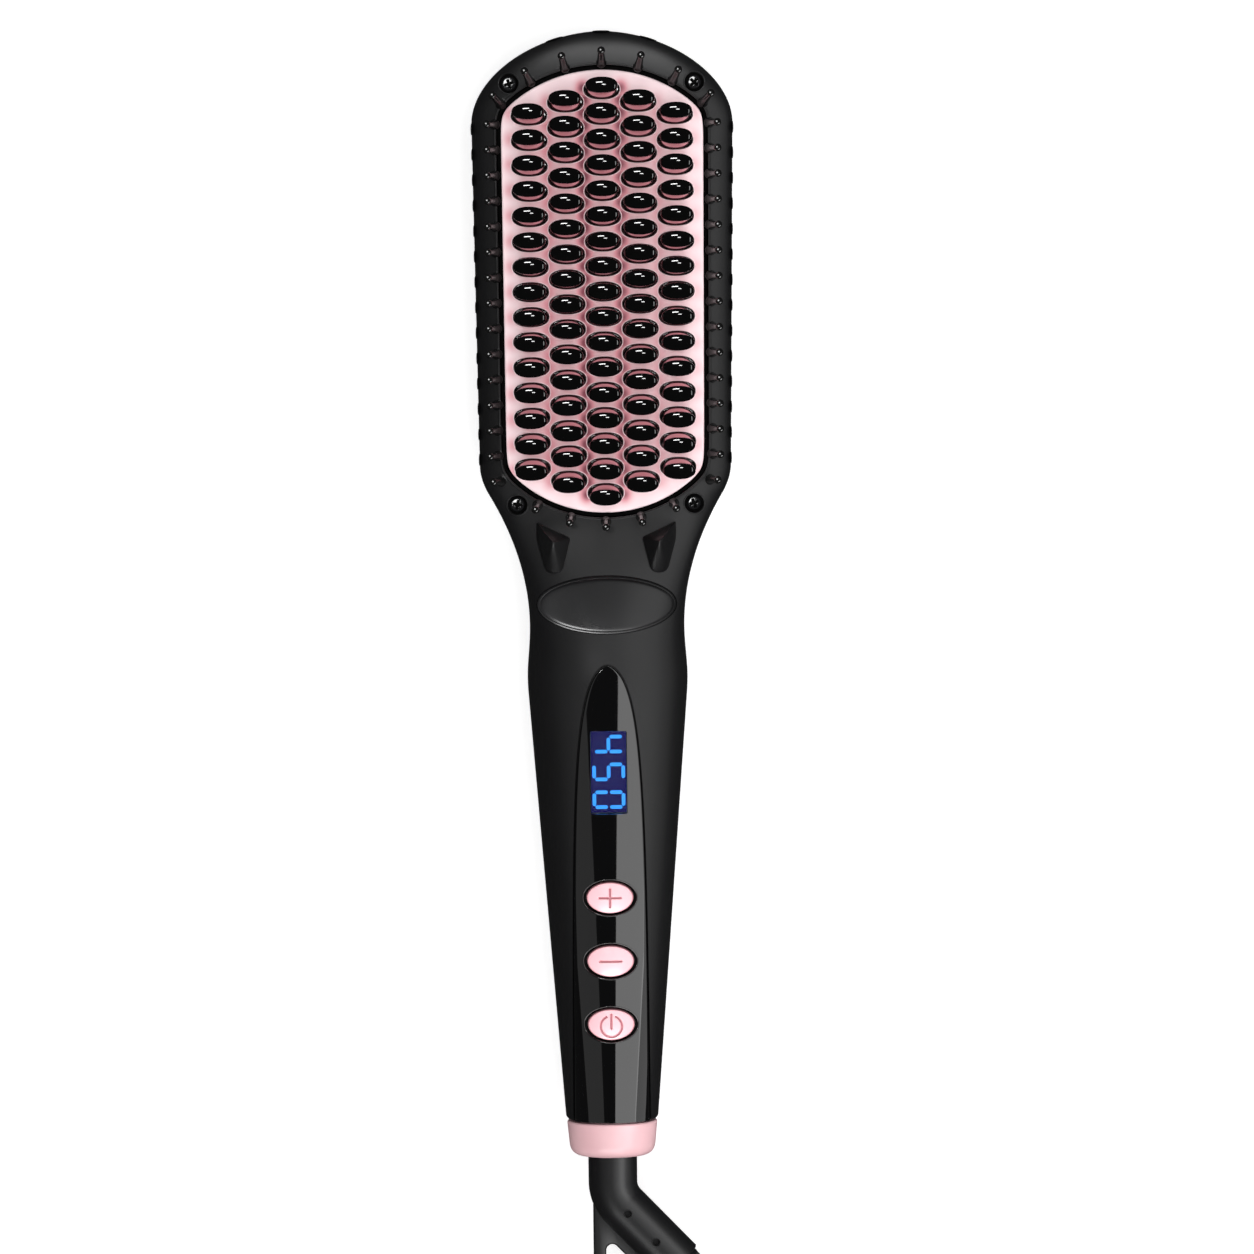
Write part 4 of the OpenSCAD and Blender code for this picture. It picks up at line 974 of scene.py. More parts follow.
@dataclass
class Wardrobe:
    """Keeps one material for each finish and dresses pieces in them."""

    made: dict[str, bpy.types.Material] = field(default_factory=dict)

    def material(self, slot: str) -> bpy.types.Material:
        """The material of a slot, built the first time it is asked for.

        Args:
            slot: Name of the slot.

        Returns:
            Its material.
        """
        if slot not in self.made:
            self.made[slot] = FINISHES[slot].material()
        return self.made[slot]

    def add(self, name: str, part: Part, sharp: float, slot: str, body: str, *nodes: str) -> None:
        """Makes a new piece from its mesh and dresses it; see mesh_object and dress."""
        self.dress(mesh_object(name, part, sharp), slot, body, *nodes)

    def dress(self, piece: bpy.types.Object, slot: str, body: str, *nodes: str) -> None:
        """Gives a new piece its finish, its body and the nodes that it stands for.

        Args:
            piece: The new piece.
            slot: The record's material slot.
            body: The body that it rides on.
            nodes: CAD nodes that it replaces.
        """
        piece.data.materials.clear()
        piece.data.materials.append(self.material(slot))
        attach(piece, body)
        if nodes:
            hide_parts(*nodes)
        LOG.info("%s: %d faces, on %s", piece.name, len(piece.data.polygons), body)

    def dress_nodes(self, slots: dict[str, str]) -> None:
        """Gives the CAD nodes that stay in sight or inside their finishes.

        Args:
            slots: Material slot of each CAD node.
        """
        for node, slot in slots.items():
            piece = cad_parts[node]
            piece.data.materials.clear()
            piece.data.materials.append(self.material(slot))
            soften(piece, 32.0)
            LOG.info("%s keeps its CAD shape", node)


WARDROBE = Wardrobe()


# Body

@dataclass(frozen=True)
class Shells:
    """The front and rear halves of the body, with the guard fins and the small side bumps."""

    opening_gap: float = 1.25
    lip_r: float = 0.35
    screw_in: float = 5.7
    counterbore_r: float = 2.45
    seat_deep: float = 2.0
    groove: float = 0.3
    fin_x: float = 12.9
    fin_y: float = -60.8
    fin_h: float = 6.5
    bump_l: float = 1.45
    bump_out: float = 0.18
    screw_ys: tuple[float, float] = (50.7, -51.8)
    opening_span: tuple[float, float] = (12.0, 45.0)
    groove_past: float = 3.0
    clear: float = 4.0
    counterbore_l: float = 12.0
    button_hole: tuple[float, float] = (7.3, 5.4)
    window_hole: tuple[float, float] = (4.9, 10.55)
    deck_span: tuple[float, float] = (-14.0, 4.0)
    back_bore_ys: tuple[float, float] = (-92.0, -188.4)
    back_bore_r: float = 2.4
    back_bore_span: tuple[float, float] = (-1.0, 6.0)
    fin_corners: tuple[tuple[float, float, float], ...] = (
        (4.1, 4.7, 0.4), (-4.2, 0.9, 0.7), (-2.0, -7.8, 1.9), (1.9, -7.8, 1.9), (4.2, 0.6, 1.6))
    fin_tip: float = 0.03
    fin_taper: float = 1.12
    fin_rise: float = 1.2
    fin_root: float = 0.6
    bump_count: int = 14
    bump_back: float = 1.0
    bump_h: float = 1.5
    side_bump_z: float = 3.0
    tip_bump_xs: tuple[float, float, float] = (-11.5, 0.0, 11.5)
    tip_bump_l: float = 2.2
    tip_bump_z: float = 2.0
    # Wall and step of the matte cups that paint shade in the counterbores.
    cup_t: float = 0.1
    cup_step: float = 0.45

    def screw_places(self) -> list[tuple[float, float]]:
        """Places of the four head screws."""
        return [(s * (float(FORM.half_w(y)) - self.screw_in), y) for y in self.screw_ys for s in (-1, 1)]

    def front_cutters(self) -> list[Part]:
        """Solids that open the front shell.

        Returns:
            Points and faces of each solid.
        """
        cutters = [
            prism(PLATE.outline(self.opening_gap), *self.opening_span),
            strip(DECK.panel_places(self.groove, self.groove_past), -self.clear, DECK.sink),
            Badge().recess(self.groove * 0.5),
        ]
        bore = lathe(np.array([[self.counterbore_r, 0.0], [self.counterbore_r, self.counterbore_l]]), 48)
        for x, y in self.screw_places():
            seat = float(FORM.skin_z(x, y)) - self.seat_deep
            cutters.append(placed(bore, Matrix.Translation((x, y, seat))))
        for y in Buttons().places():
            cutters.append(placed(prism(oval(*self.button_hole, 64), *self.deck_span), DECK.at(y)))
        half_w, half_l = self.window_hole
        window = np.array([[half_w, -half_l], [half_w, half_l], [-half_w, half_l], [-half_w, -half_l]])
        cutters.append(placed(prism(window, *self.deck_span), DECK.at(Display.centre)))
        return cutters

    def fin(self, side: int) -> Part:
        """One guard fin: a smooth three-cornered horn that stands out of the neck.

        Args:
            side: 1 for the right fin and -1 for the left one.

        Returns:
            Its points and faces.
        """
        corners = np.array(self.fin_corners)
        base: list[tuple[float, float]] = []
        for i, corner in enumerate(corners):
            after = corners[(i + 1) % len(corners)]
            base += rounded_corner(corners[i - 1][:2], corner[:2], after[:2], corner[2], 9)
        outline = np.array(base)
        rows = []
        for share in np.concatenate([[-0.1], np.linspace(0.0, 1.0, 15)]):
            shrink = 1.0 - max(share, 0.0) ** self.fin_taper
            places = outline * (shrink * (1.0 - self.fin_tip) + self.fin_tip)
            x = side * (self.fin_x + places[:, 0])
            y = self.fin_y + places[:, 1]
            ground = FORM.skin_z(x, y) - (self.fin_root if share < 0.0 else 0.0)
            z = mix(ground, float(FORM.skin_z(self.fin_x, self.fin_y)) + self.fin_h,
                    np.full(len(x), 1 - (1 - max(share, 0.0)) ** self.fin_rise))
            rows.append(np.stack([x, y, z], axis=1))
        made = np.array(rows)
        return loft(made if side > 0 else made[:, ::-1])

    def bump(self, x: float, y: float, way: float, half: float, high: float) -> Part:
        """One low bump on the outline.

        Args:
            x: Place of its middle across the head.
            y: Place of its middle along the brush.
            way: Direction of the outline there, in radians from +X.
            half: Half its length along the outline.
            high: Height of its middle above the parting plane.

        Returns:
            Its points and faces.
        """
        turn = full_turn(20)
        rows = []
        for lift in np.linspace(-0.96, 0.96, 9):
            size = math.sqrt(1 - lift * lift)
            along, out = half * size * np.cos(turn), self.bump_out * size * np.sin(turn)
            rows.append(np.stack([x + along * math.cos(way) - out * math.sin(way),
                                  y + along * math.sin(way) + out * math.cos(way),
                                  np.full(len(turn), FORM.part_z + high + self.bump_h * lift)], axis=1))
        return loft(np.array(rows))

    def bumps(self) -> Part:
        """The low bumps along both sides of the head and over its tip.

        Returns:
            Their points and faces.
        """
        parts: list[Part] = []
        for i in range(self.bump_count):
            y = EdgePins.first_y - self.bump_back - i * EdgePins.pitch
            x = float(FORM.half_w(y))
            parts += [self.bump(s * x, y, math.pi / 2, self.bump_l, self.side_bump_z) for s in (-1, 1)]
        for x in self.tip_bump_xs:
            reach = [self.tip_reach(x + d) for d in (-0.5, 0.0, 0.5)]
            way = math.atan(reach[2] - reach[0])
            parts.append(self.bump(x, reach[1] - 0.06, way, self.tip_bump_l, self.tip_bump_z))
        return gather(parts)

    def tip_reach(self, x: float) -> float:
        """How far the rounded tip reaches at a place across it."""
        out = 1 - (abs(x) / (FORM.head_w / 2)) ** FORM.arch_plan
        return mix(FORM.shoulder_y, FORM.tip_y, out ** (1 / FORM.arch_plan))

    def build(self) -> None:
        """Builds and dresses both shells."""
        front = mesh_object("front_half", FORM.shell(1))
        carve(front, self.front_cutters(), 28.0)
        WARDROBE.dress(front, "black_shell", BRUSH, "front_shell")
        rear = mesh_object("rear_half", FORM.shell(-1))
        cutters = []
        for y in self.back_bore_ys:
            bore = lathe(np.array([[self.back_bore_r, z] for z in self.back_bore_span]), 48)
            cutters.append(placed(bore, Matrix.Translation((0, y, 0))))
        carve(rear, cutters, 28.0)
        WARDROBE.dress(rear, "black_shell", BRUSH, "rear_shell")
        WARDROBE.add("guard_fins", gather([self.fin(1), self.fin(-1)]), 50.0, "black_shell", BRUSH)
        WARDROBE.add("side_bumps", self.bumps(), 60.0, "black_shell", BRUSH)
        self.lips()

    def lips(self) -> None:
        """Rounded edges round the plate's opening and the counterbores, and matte black cups in the
        counterbores as painted shade.
        """
        parts = []
        edge = PLATE.outline(self.opening_gap + self.lip_r * 0.8, 220)
        parts.append(bead(FORM.laid(edge, self.lip_r * 0.75), self.lip_r, 12))
        for x, y in self.screw_places():
            circle = oval(self.counterbore_r + 0.1, self.counterbore_r + 0.1, 48) + np.array([x, y])
            parts.append(bead(FORM.laid(circle, 0.12), 0.22, 10))
        WARDROBE.add("shell_lips", gather(parts), 60.0, "black_shell", BRUSH)
        # Matte black cups inside the counterbores are painted shade, darker than the satin shell round them.
        r, deep = self.counterbore_r - 0.02, self.seat_deep
        inner_r, step = r - self.cup_t, deep - self.cup_step
        cup = lathe(np.array([[0.02, 0.03], [inner_r, 0.03], [inner_r, step], [r, step], [r, -0.03],
                              [0.02, -0.03]]), 48)
        shade_cups = [placed(cup, Matrix.Translation((x, y, float(FORM.skin_z(x, y)) - deep)))
                for x, y in self.screw_places()]
        WARDROBE.add("painted_shade_cups", gather(shade_cups), 40.0, "seal", BRUSH)


@dataclass(frozen=True)
class Badge:
    """The bare oval pad on the neck."""

    centre_y: float = -76.2
    half_x: float = 17.0
    half_y: float = 7.0
    sink: float = 0.8
    clear: float = 3.0
    rim: tuple[tuple[float, float], ...] = (
        (0.0, -0.8), (0.0, 0.02), (0.05, 0.10), (0.20, 0.19), (0.38, 0.28), (0.47, 0.29), (0.53, 0.20),
        (0.60, 0.19), (0.66, 0.28), (0.84, 0.38), (1.02, 0.47), (1.15, 0.52), (1.4, 0.56), (1.8, 0.59),
        (2.4, 0.62))
    crown: float = 0.1

    def recess(self, grow: float) -> Part:
        """Solid that sinks the pad's seat into the neck.

        Args:
            grow: Clear gap round the pad.

        Returns:
            The solid's points and faces.
        """
        turn = np.linspace(math.radians(0.5), math.radians(179.5), 60)
        places = np.stack([self.centre_y + (self.half_y + grow) * np.cos(turn),
                           (self.half_x + grow) * np.sin(turn)], axis=1)
        return strip(places, -self.clear, self.sink)

    def build(self) -> None:
        """Builds and dresses the pad: a bevelled rim with a fine line inside it."""
        turn = full_turn(144)
        rows = []
        for inset, lift in self.rim:
            x = (self.half_x - inset) * np.cos(turn)
            y = (self.half_y - inset) * np.sin(turn) + self.centre_y
            rows.append(np.stack([x, y, FORM.skin_z(x, y) + lift], axis=1))
        inset, lift = self.rim[-1]
        for size in np.linspace(0.93, 0.02, 16):
            x = (self.half_x - inset) * size * np.cos(turn)
            y = (self.half_y - inset) * size * np.sin(turn) + self.centre_y
            rows.append(np.stack([x, y, FORM.skin_z(x, y) + lift + self.crown * (1 - size * size)], axis=1))
        WARDROBE.add("oval_pad", loft(np.array(rows)), 35.0, "badge", BRUSH, "badge_pad")


# Head

@dataclass(frozen=True)
class HeatingPlate:
    """The crowned plate with the metal cores of its teeth."""

    core_a: float = 3.15
    core_b: float = 1.72
    core_h: float = 5.2
    ring_out: tuple[float, float] = (4.43, 2.44)
    ring_in: tuple[float, float] = (3.12, 1.92)
    ring_h: float = 0.30
    halo_r: float = 0.13
    lean: float = 0.55
    side_shade_drift: float = 0.42
    lean_y: float = 24.0
    lean_x: float = -0.010
    halo_z: float = -0.01
    spots: tuple[int, int] = (240, 110)
    edge: tuple[tuple[float, float], ...] = (
        (-0.55, 0.0), (-0.35, 0.03), (-0.16, 0.12), (-0.04, 0.28), (0.0, 0.5), (0.0, 5.2))
    foot: tuple[tuple[float, float, float], ...] = (
        (0.34, -0.6, 1.0), (0.34, 0.06, 1.0), (0.2, 0.2, 0.8), (0.0, 0.6, 0.0))
    # Fields from here to the end set the painted shade on the plate and on the cores.
    near_fall: float = 1.4
    near_x: float = 6.2
    near_y: float = 3.6
    inner_x: float = 6.0
    outer_share: float = 0.35
    end_at: float = 4.7
    end_x: float = 1.5
    end_y: float = 1.8
    shade_from: float = 0.5
    shade_span: float = 1.2
    shade_share: float = 0.38
    end_shadow_share: float = 0.80
    middle_lift: float = 1.12
    core_shade: float = 0.5

    def face(self) -> bpy.types.Object:
        """The plate's face with its softened edge.

        Returns:
            The plate, with an attribute of painted shade that grows where teeth crowd it.
        """
        rows, columns = self.spots
        share = np.linspace(-1.0, 1.0, columns)

        def spot(row: int, column: int, grow: float, drop: float) -> tuple[float, float, float]:
            """One point of the face or of its softened edge."""
            y = ys[grow][row]
            return (halves[grow][row] * share[column], y, float(PLATE.crown(y)) - drop)

        ys = {g: PLATE.rows(g, rows) for g, _ in self.edge}
        halves = {g: PLATE.half_w(ys[g], g) for g in ys}
        points = [spot(j, k, *self.edge[0]) for j in range(rows) for k in range(columns)]
        corners = (j * columns + k for j in range(rows - 1) for k in range(columns - 1))
        faces: Faces = [(i, i + 1, i + columns + 1, i + columns) for i in corners]
        loop = [(0, k) for k in range(columns)] + [(j, columns - 1) for j in range(1, rows)]
        loop += [(rows - 1, k) for k in range(columns - 2, -1, -1)] + [(j, 0) for j in range(rows - 2, 0, -1)]
        above = [j * columns + k for j, k in loop]
        for grow, drop in self.edge[1:]:
            start = len(points)
            points += [spot(j, k, grow, drop) for j, k in loop]
            below = list(range(start, start + len(loop)))
            for i in range(len(loop)):
                after = (i + 1) % len(loop)
                faces.append((above[i], below[i], below[after], above[after]))
            above = below
        faces.append(tuple(above))
        plate = mesh_object("rose_plate", (np.array(points), faces), 50.0)
        self.paint_tooth_shade(plate)
        return plate

    def paint_tooth_shade(self, plate: bpy.types.Object) -> None:
        """Stores painted shade at each point of the plate: more where teeth crowd it, painted shadows at the
        teeth's ends that face the inner channels, and more shade to the left, away from the light.

        Args:
            plate: The plate, which gets the attribute.
        """
        co = np.zeros(len(plate.data.vertices) * 3, np.float32)
        plate.data.vertices.foreach_get("co", co)
        co = co.reshape(-1, 3) / MM
        painted_shade = np.zeros(len(co))
        painted_end_shadow = np.zeros(len(co))
        for x, y in PLATE.teeth():
            across, along = co[:, 0] - x, co[:, 1] - y
            painted_shade += np.exp(-self.near_fall * ((across / self.near_x) ** 2 + (along / self.near_y) ** 2))
            for s in (-1, 1):
                share = 1.0 if abs(x + s * PLATE.column_pitch / 2) < self.inner_x else self.outer_share
                end = ((across - s * self.end_at) / self.end_x) ** 2 + (along / self.end_y) ** 2
                painted_end_shadow = np.maximum(painted_end_shadow, share * np.exp(-end))
        painted_shade = (self.shade_share * np.clip((painted_shade - self.shade_from) / self.shade_span, 0.0, 1.0)
                 + self.end_shadow_share * painted_end_shadow)
        # Painted shade deepens towards the left and lightens to the right, as the light falls from the right.
        painted_shade *= self.middle_lift - self.side_shade_drift * co[:, 0] / PLATE.half_w(np.array([0.0]), 0.0)[0]
        store_share(plate, "painted_tooth_shade", painted_shade)

    def cores(self) -> Part:
        """The metal cores under the caps, each on a low foot inside its ring.

        Returns:
            Their points and faces.
        """
        parts = []
        for x, y in PLATE.teeth():
            back = self.foot_shift(x, y)
            rows = [at_height(oval(self.core_a + g, self.core_b + g, 40, PLATE.plump) + back * share, h)
                    for g, h, share in (*self.foot, (0.0, self.core_h, 0.0))]
            parts.append(placed(loft(np.array(rows)), PLATE.on_crown(x, y)))
        return gather(parts)

    def foot_shift(self, x: float, y: float) -> np.ndarray:
        """How far a tooth's foot and ring lie towards the plate's middle."""
        return np.array([self.lean_x * x, -self.lean * math.tanh(y / self.lean_y)])

    def rings(self) -> Part:
        """The low domed rings at the feet of the teeth.

        Returns:
            Their points and faces.
        """
        inner, outer = np.array(self.ring_in), np.array(self.ring_out)
        profile = [(0.0, -0.3), (0.0, 0.16), (0.22, 0.27), (0.5, self.ring_h), (0.8, 0.22), (1.0, 0.05),
                   (1.0, -0.3)]
        parts = []
        for x, y in PLATE.teeth():
            rows = [at_height(oval(*mix(inner, outer, share), 56, PLATE.plump) + self.foot_shift(x, y), h)
                    for share, h in profile]
            parts.append(placed(ring(np.array(rows)), PLATE.on_crown(x, y)))
        return gather(parts)

    def halos(self) -> Part:
        """The fine raised edge round each ring.

        Returns:
            Their points and faces.
        """
        parts = []
        grow = self.halo_r * 0.9
        edge = oval(self.ring_out[0] + grow, self.ring_out[1] + grow, 56, PLATE.plump)
        for x, y in PLATE.teeth():
            path = at_height(edge + self.foot_shift(x, y), self.halo_z)
            parts.append(placed(bead(path, self.halo_r, 8), PLATE.on_crown(x, y)))
        return gather(parts)

    def build(self) -> None:
        """Builds and dresses the plate, its cores and the rings at their feet."""
        plate = self.face()
        WARDROBE.dress(plate, "pink_plate", BRUSH, "heating_plate")
        cores = mesh_object("tooth_cores", self.cores(), 40.0)
        # The cores get an even middle tone of painted shade.
        store_share(cores, "painted_tooth_shade", np.full(len(cores.data.vertices), self.core_shade))
        WARDROBE.dress(cores, "pink_plate", BRUSH)
        WARDROBE.add("tooth_foot_rings", self.rings(), 60.0, "tooth_black", BRUSH)
        WARDROBE.add("tooth_foot_beads", self.halos(), 60.0, "pink_plate", BRUSH)


@dataclass(frozen=True)
class HeadScrews:
    """The four cross-head screws at the head's corners."""

    head_r: float = 1.75
    dome: float = 0.55
    shank_r: float = 1.1
    slot_w: float = 0.33
    slot_l: float = 1.15
    slot_deep: float = 0.9
    slot_flank: float = 0.12
    point_r: float = 0.3
    point_l: float = 1.0
    rim_h: float = 0.25
    first_turn: float = 17.0
    next_turn: float = 31.0

    def screw(self, shank: float) -> Part:
        """One screw with its head's foot at z = 0.

        Args:
            shank: Length of the thread under the head.

        Returns:
            Its points and faces.
        """
        turn = full_turn(96)
        rows = []
        for radius, at in ((self.point_r, -shank), (self.shank_r, -shank + self.point_l), (self.shank_r, 0.0),
                           (self.head_r, 0.0), (self.head_r, self.rim_h)):
            rows.append(level_circle(radius, len(turn), at))
        for share in np.concatenate([[0.985, 0.96, 0.92], np.linspace(0.88, 0.01, 34)]):
            x, y = self.head_r * share * np.cos(turn), self.head_r * share * np.sin(turn)
            cross = np.minimum(np.maximum(np.abs(x) - self.slot_w, np.abs(y) - self.slot_l),
                               np.maximum(np.abs(y) - self.slot_w, np.abs(x) - self.slot_l))
            sunk = self.slot_deep * (1.0 - ease((cross + 0.08) / self.slot_flank))
            rows.append(np.stack([x, y, self.rim_h + self.dome * math.sqrt(1 - share ** 4) - sunk], axis=1))
        return loft(np.array(rows))

    def build(self) -> None:
        """Builds and dresses the four screws."""
        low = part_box("head_screws")[0][2] / MM
        parts = []
        for i, (x, y) in enumerate(Shells().screw_places()):
            seat = float(FORM.skin_z(x, y)) - Shells.seat_deep
            way = Matrix.Rotation(math.radians(self.first_turn + self.next_turn * i), 4, "Z")
            parts.append(placed(self.screw(seat - low), Matrix.Translation((x, y, seat + 0.02)) @ way))
        WARDROBE.add("corner_screws", gather(parts), 35.0, "screw_dark", BRUSH, "head_screws")


@dataclass(frozen=True)
class ToothCaps:
    """The glossy domed caps on the teeth."""

    half_x: float = 3.98
    half_y: float = 1.95
    skirt: float = 0.8
    dome: float = 1.9
    soft: float = 0.3

    def cap(self) -> Part:
        """One cap, with its foot at z = 0.

        Returns:
            Its points and faces.
        """
        radius = (self.half_x ** 2 + self.dome ** 2) / (2 * self.dome)
        top = self.skirt + self.dome
        count = 48
        rows = []

        def lay(shrink: float, fall: float, at: float | None) -> None:
            """Adds a loop, shrunk evenly, either at a height or on the dome.

            Args:
                shrink: How far the loop is moved in.
                fall: How far it lies under the dome.
                at: Its height, or None on the dome.
            """
            places = oval(self.half_x - shrink, self.half_y - shrink * 0.8, count, PLATE.plump)
            on_dome = top - radius + np.sqrt(radius ** 2 - (places ** 2).sum(axis=1)) - fall
            z = on_dome if at is None else np.full(count, at)
            rows.append(np.column_stack([places, z]))

        # Skirt, rounded shoulder and dome
        lay(0.1, 0.0, 0.0)
        lay(0.0, 0.0, 0.1)
        for out in np.linspace(0.0, 1.0, 5):
            lay(self.soft * (1 - math.sqrt(1 - out * out)), self.soft * (1 - out), None)
        for share in (0.84, 0.76, 0.66, 0.54, 0.42, 0.3, 0.18, 0.08, 0.01):
            places = oval(self.half_x * share, self.half_y * share, count, PLATE.plump)
            z = top - radius + np.sqrt(radius ** 2 - (places ** 2).sum(axis=1))
            rows.append(np.column_stack([places, z]))
        return loft(np.array(rows))

    def build(self) -> None:
        """Builds and dresses all caps."""
        one = self.cap()
        lift = Matrix.Translation((0, 0, HeatingPlate.core_h))
        parts = [placed(one, PLATE.on_crown(x, y) @ lift) for x, y in PLATE.teeth()]
        WARDROBE.add("domed_caps", gather(parts), 50.0, "tooth_black", BRUSH, "tooth_caps")


@dataclass(frozen=True)
class EdgePins:
    """The ball-tipped pins round the rim."""

    foot_r: float = 1.15
    neck_r: float = 0.75
    ball_r: float = 0.95
    length: float = 7.0
    root: float = 1.0
    flank: float = 26.2
    pitch: float = 6.2
    first_y: float = 40.8
    side_count: int = 15
    last_in: float = 0.7
    side_lean: float = 17.0
    arc_step: float = 14.5
    tip_y: float = 19.9
    tip_r: float = 35.8
    tip_lean: float = 26.0
    heel_y: float = -21.9
    heel_r: float = 34.25
    heel_lean: float = 10.0

    def feet(self) -> list[tuple[float, float, float, float]]:
        """Place, direction and lean of each pin.

        Returns:
            Rows of x, y, direction and lean, the last two in degrees.
        """
        made = []
        for s in (-1, 1):
            for i in range(self.side_count):
                back = self.last_in if i == self.side_count - 1 else 0.0
                made.append((s * (self.flank - back), self.first_y - i * self.pitch, 0.0 if s > 0 else 180.0,
                             self.side_lean))
        for way, steps, middle_y, radius, lean in ((1, 3, self.tip_y, self.tip_r, self.tip_lean),
                                                   (-1, 2, self.heel_y, self.heel_r, self.heel_lean)):
            for k in range(-steps, steps + 1):
                turn = math.radians(k * self.arc_step)
                made.append((radius * math.sin(turn), middle_y + way * radius * math.cos(turn),
                             way * (90 - k * self.arc_step), lean))
        return made

    def pin(self) -> Part:
        """One pin, with its foot at z = 0.

        Returns:
            Its points and faces.
        """
        ball_z = self.length - self.ball_r
        start = math.asin(self.neck_r / self.ball_r)
        profile = [(self.foot_r, -self.root), (self.foot_r + 0.22, -0.15), (self.foot_r + 0.08, 0.12),
                   (self.foot_r - 0.06, 0.5), (self.foot_r - 0.12, 1.2), (self.neck_r + 0.12, 3.2),
                   (self.neck_r, ball_z - self.ball_r * math.cos(start) - 0.15)]
        for turn in np.linspace(start, math.pi - 0.03, 12):
            profile.append((self.ball_r * math.sin(turn), ball_z - self.ball_r * math.cos(turn)))
        return lathe(np.array(profile), 24)

    def build(self) -> None:
        """Builds and dresses all pins."""
        one = self.pin()
        parts = []
        for x, y, turn, lean in self.feet():
            foot = Matrix.Translation((x, y, float(FORM.skin_z(x, y))))
            way = Matrix.Rotation(math.radians(turn), 4, "Z") @ Matrix.Rotation(math.radians(lean), 4, "Y")
            parts.append(placed(one, foot @ way))
        WARDROBE.add("ball_pins", gather(parts), 60.0, "pin_black", BRUSH, "edge_pins")


# Handle

@dataclass(frozen=True)
class Panel:
    """The glossy inlay of the grip, with the openings of the display and the buttons."""

    edge: float = 0.45
    moat_x: float = 0.85
    moat_y: float = 0.60
    rim_r: float = 0.17
    liner_deep: float = 1.5
    liner_foot: float = 2.4
    liner_gap: float = 0.14
    liner_out: float = 0.3
    window_gap: float = 0.04
    cut_span: tuple[float, float] = (-14.0, 6.0)

    def build(self) -> None:
        """Builds and dresses the panel and the fine rims round its openings."""
        inlay = strip(DECK.panel_places(0.0, 0.0, 120), -DECK.proud, DECK.sink - 0.1, self.edge, 40)
        panel = mesh_object("grip_panel", inlay, 40.0)
        cutters = [placed(prism(self.hole(0.0), *self.cut_span), DECK.at(y)) for y in Buttons().places()]
        window = Display().outline(self.window_gap)
        cutters.append(placed(prism(window, *self.cut_span), DECK.at(Display.centre)))
        carve(panel, cutters, 28.0)
        WARDROBE.dress(panel, "gloss_panel", BRUSH, "control_panel")
        self.rims()
        self.liners()

    def rims(self) -> None:
        """Rounded edges round the buttons' openings."""
        parts = []
        for y in Buttons().places():
            centre = DECK.world_y(y)
            edge = self.hole(0.1) + np.array([0.0, centre])
            parts.append(bead(FORM.laid(edge, 0.08 - DECK.proud), self.rim_r, 10))
        WARDROBE.add("button_rims", gather(parts), 60.0, "gloss_panel", BRUSH)

    def hole(self, grow: float) -> np.ndarray:
        """Outline of a button's opening."""
        return oval(Buttons.half_x + self.moat_x + grow, Buttons.half_y + self.moat_y + grow, 96)

    def liners(self) -> None:
        """Dark guides round the buttons, down in their openings."""
        parts = []
        for y in Buttons().places():
            inner = oval(Buttons.half_x + self.liner_gap, Buttons.half_y + self.liner_gap, 96)
            outer = self.hole(self.liner_out)
            rows = [at_height(places + np.array([0.0, y]), -deep) for places, deep in (
                (inner, self.liner_deep), (outer, self.liner_deep), (outer, self.liner_foot),
                (inner, self.liner_foot))]
            parts.append(placed(ring(np.array(rows)), DECK.matrix()))
        WARDROBE.add("button_guides", gather(parts), 30.0, "seal", BRUSH)


class Symbol(Enum):
    """Signs engraved in the buttons."""

    PLUS = "plus"
    MINUS = "minus"
    POWER = "power"


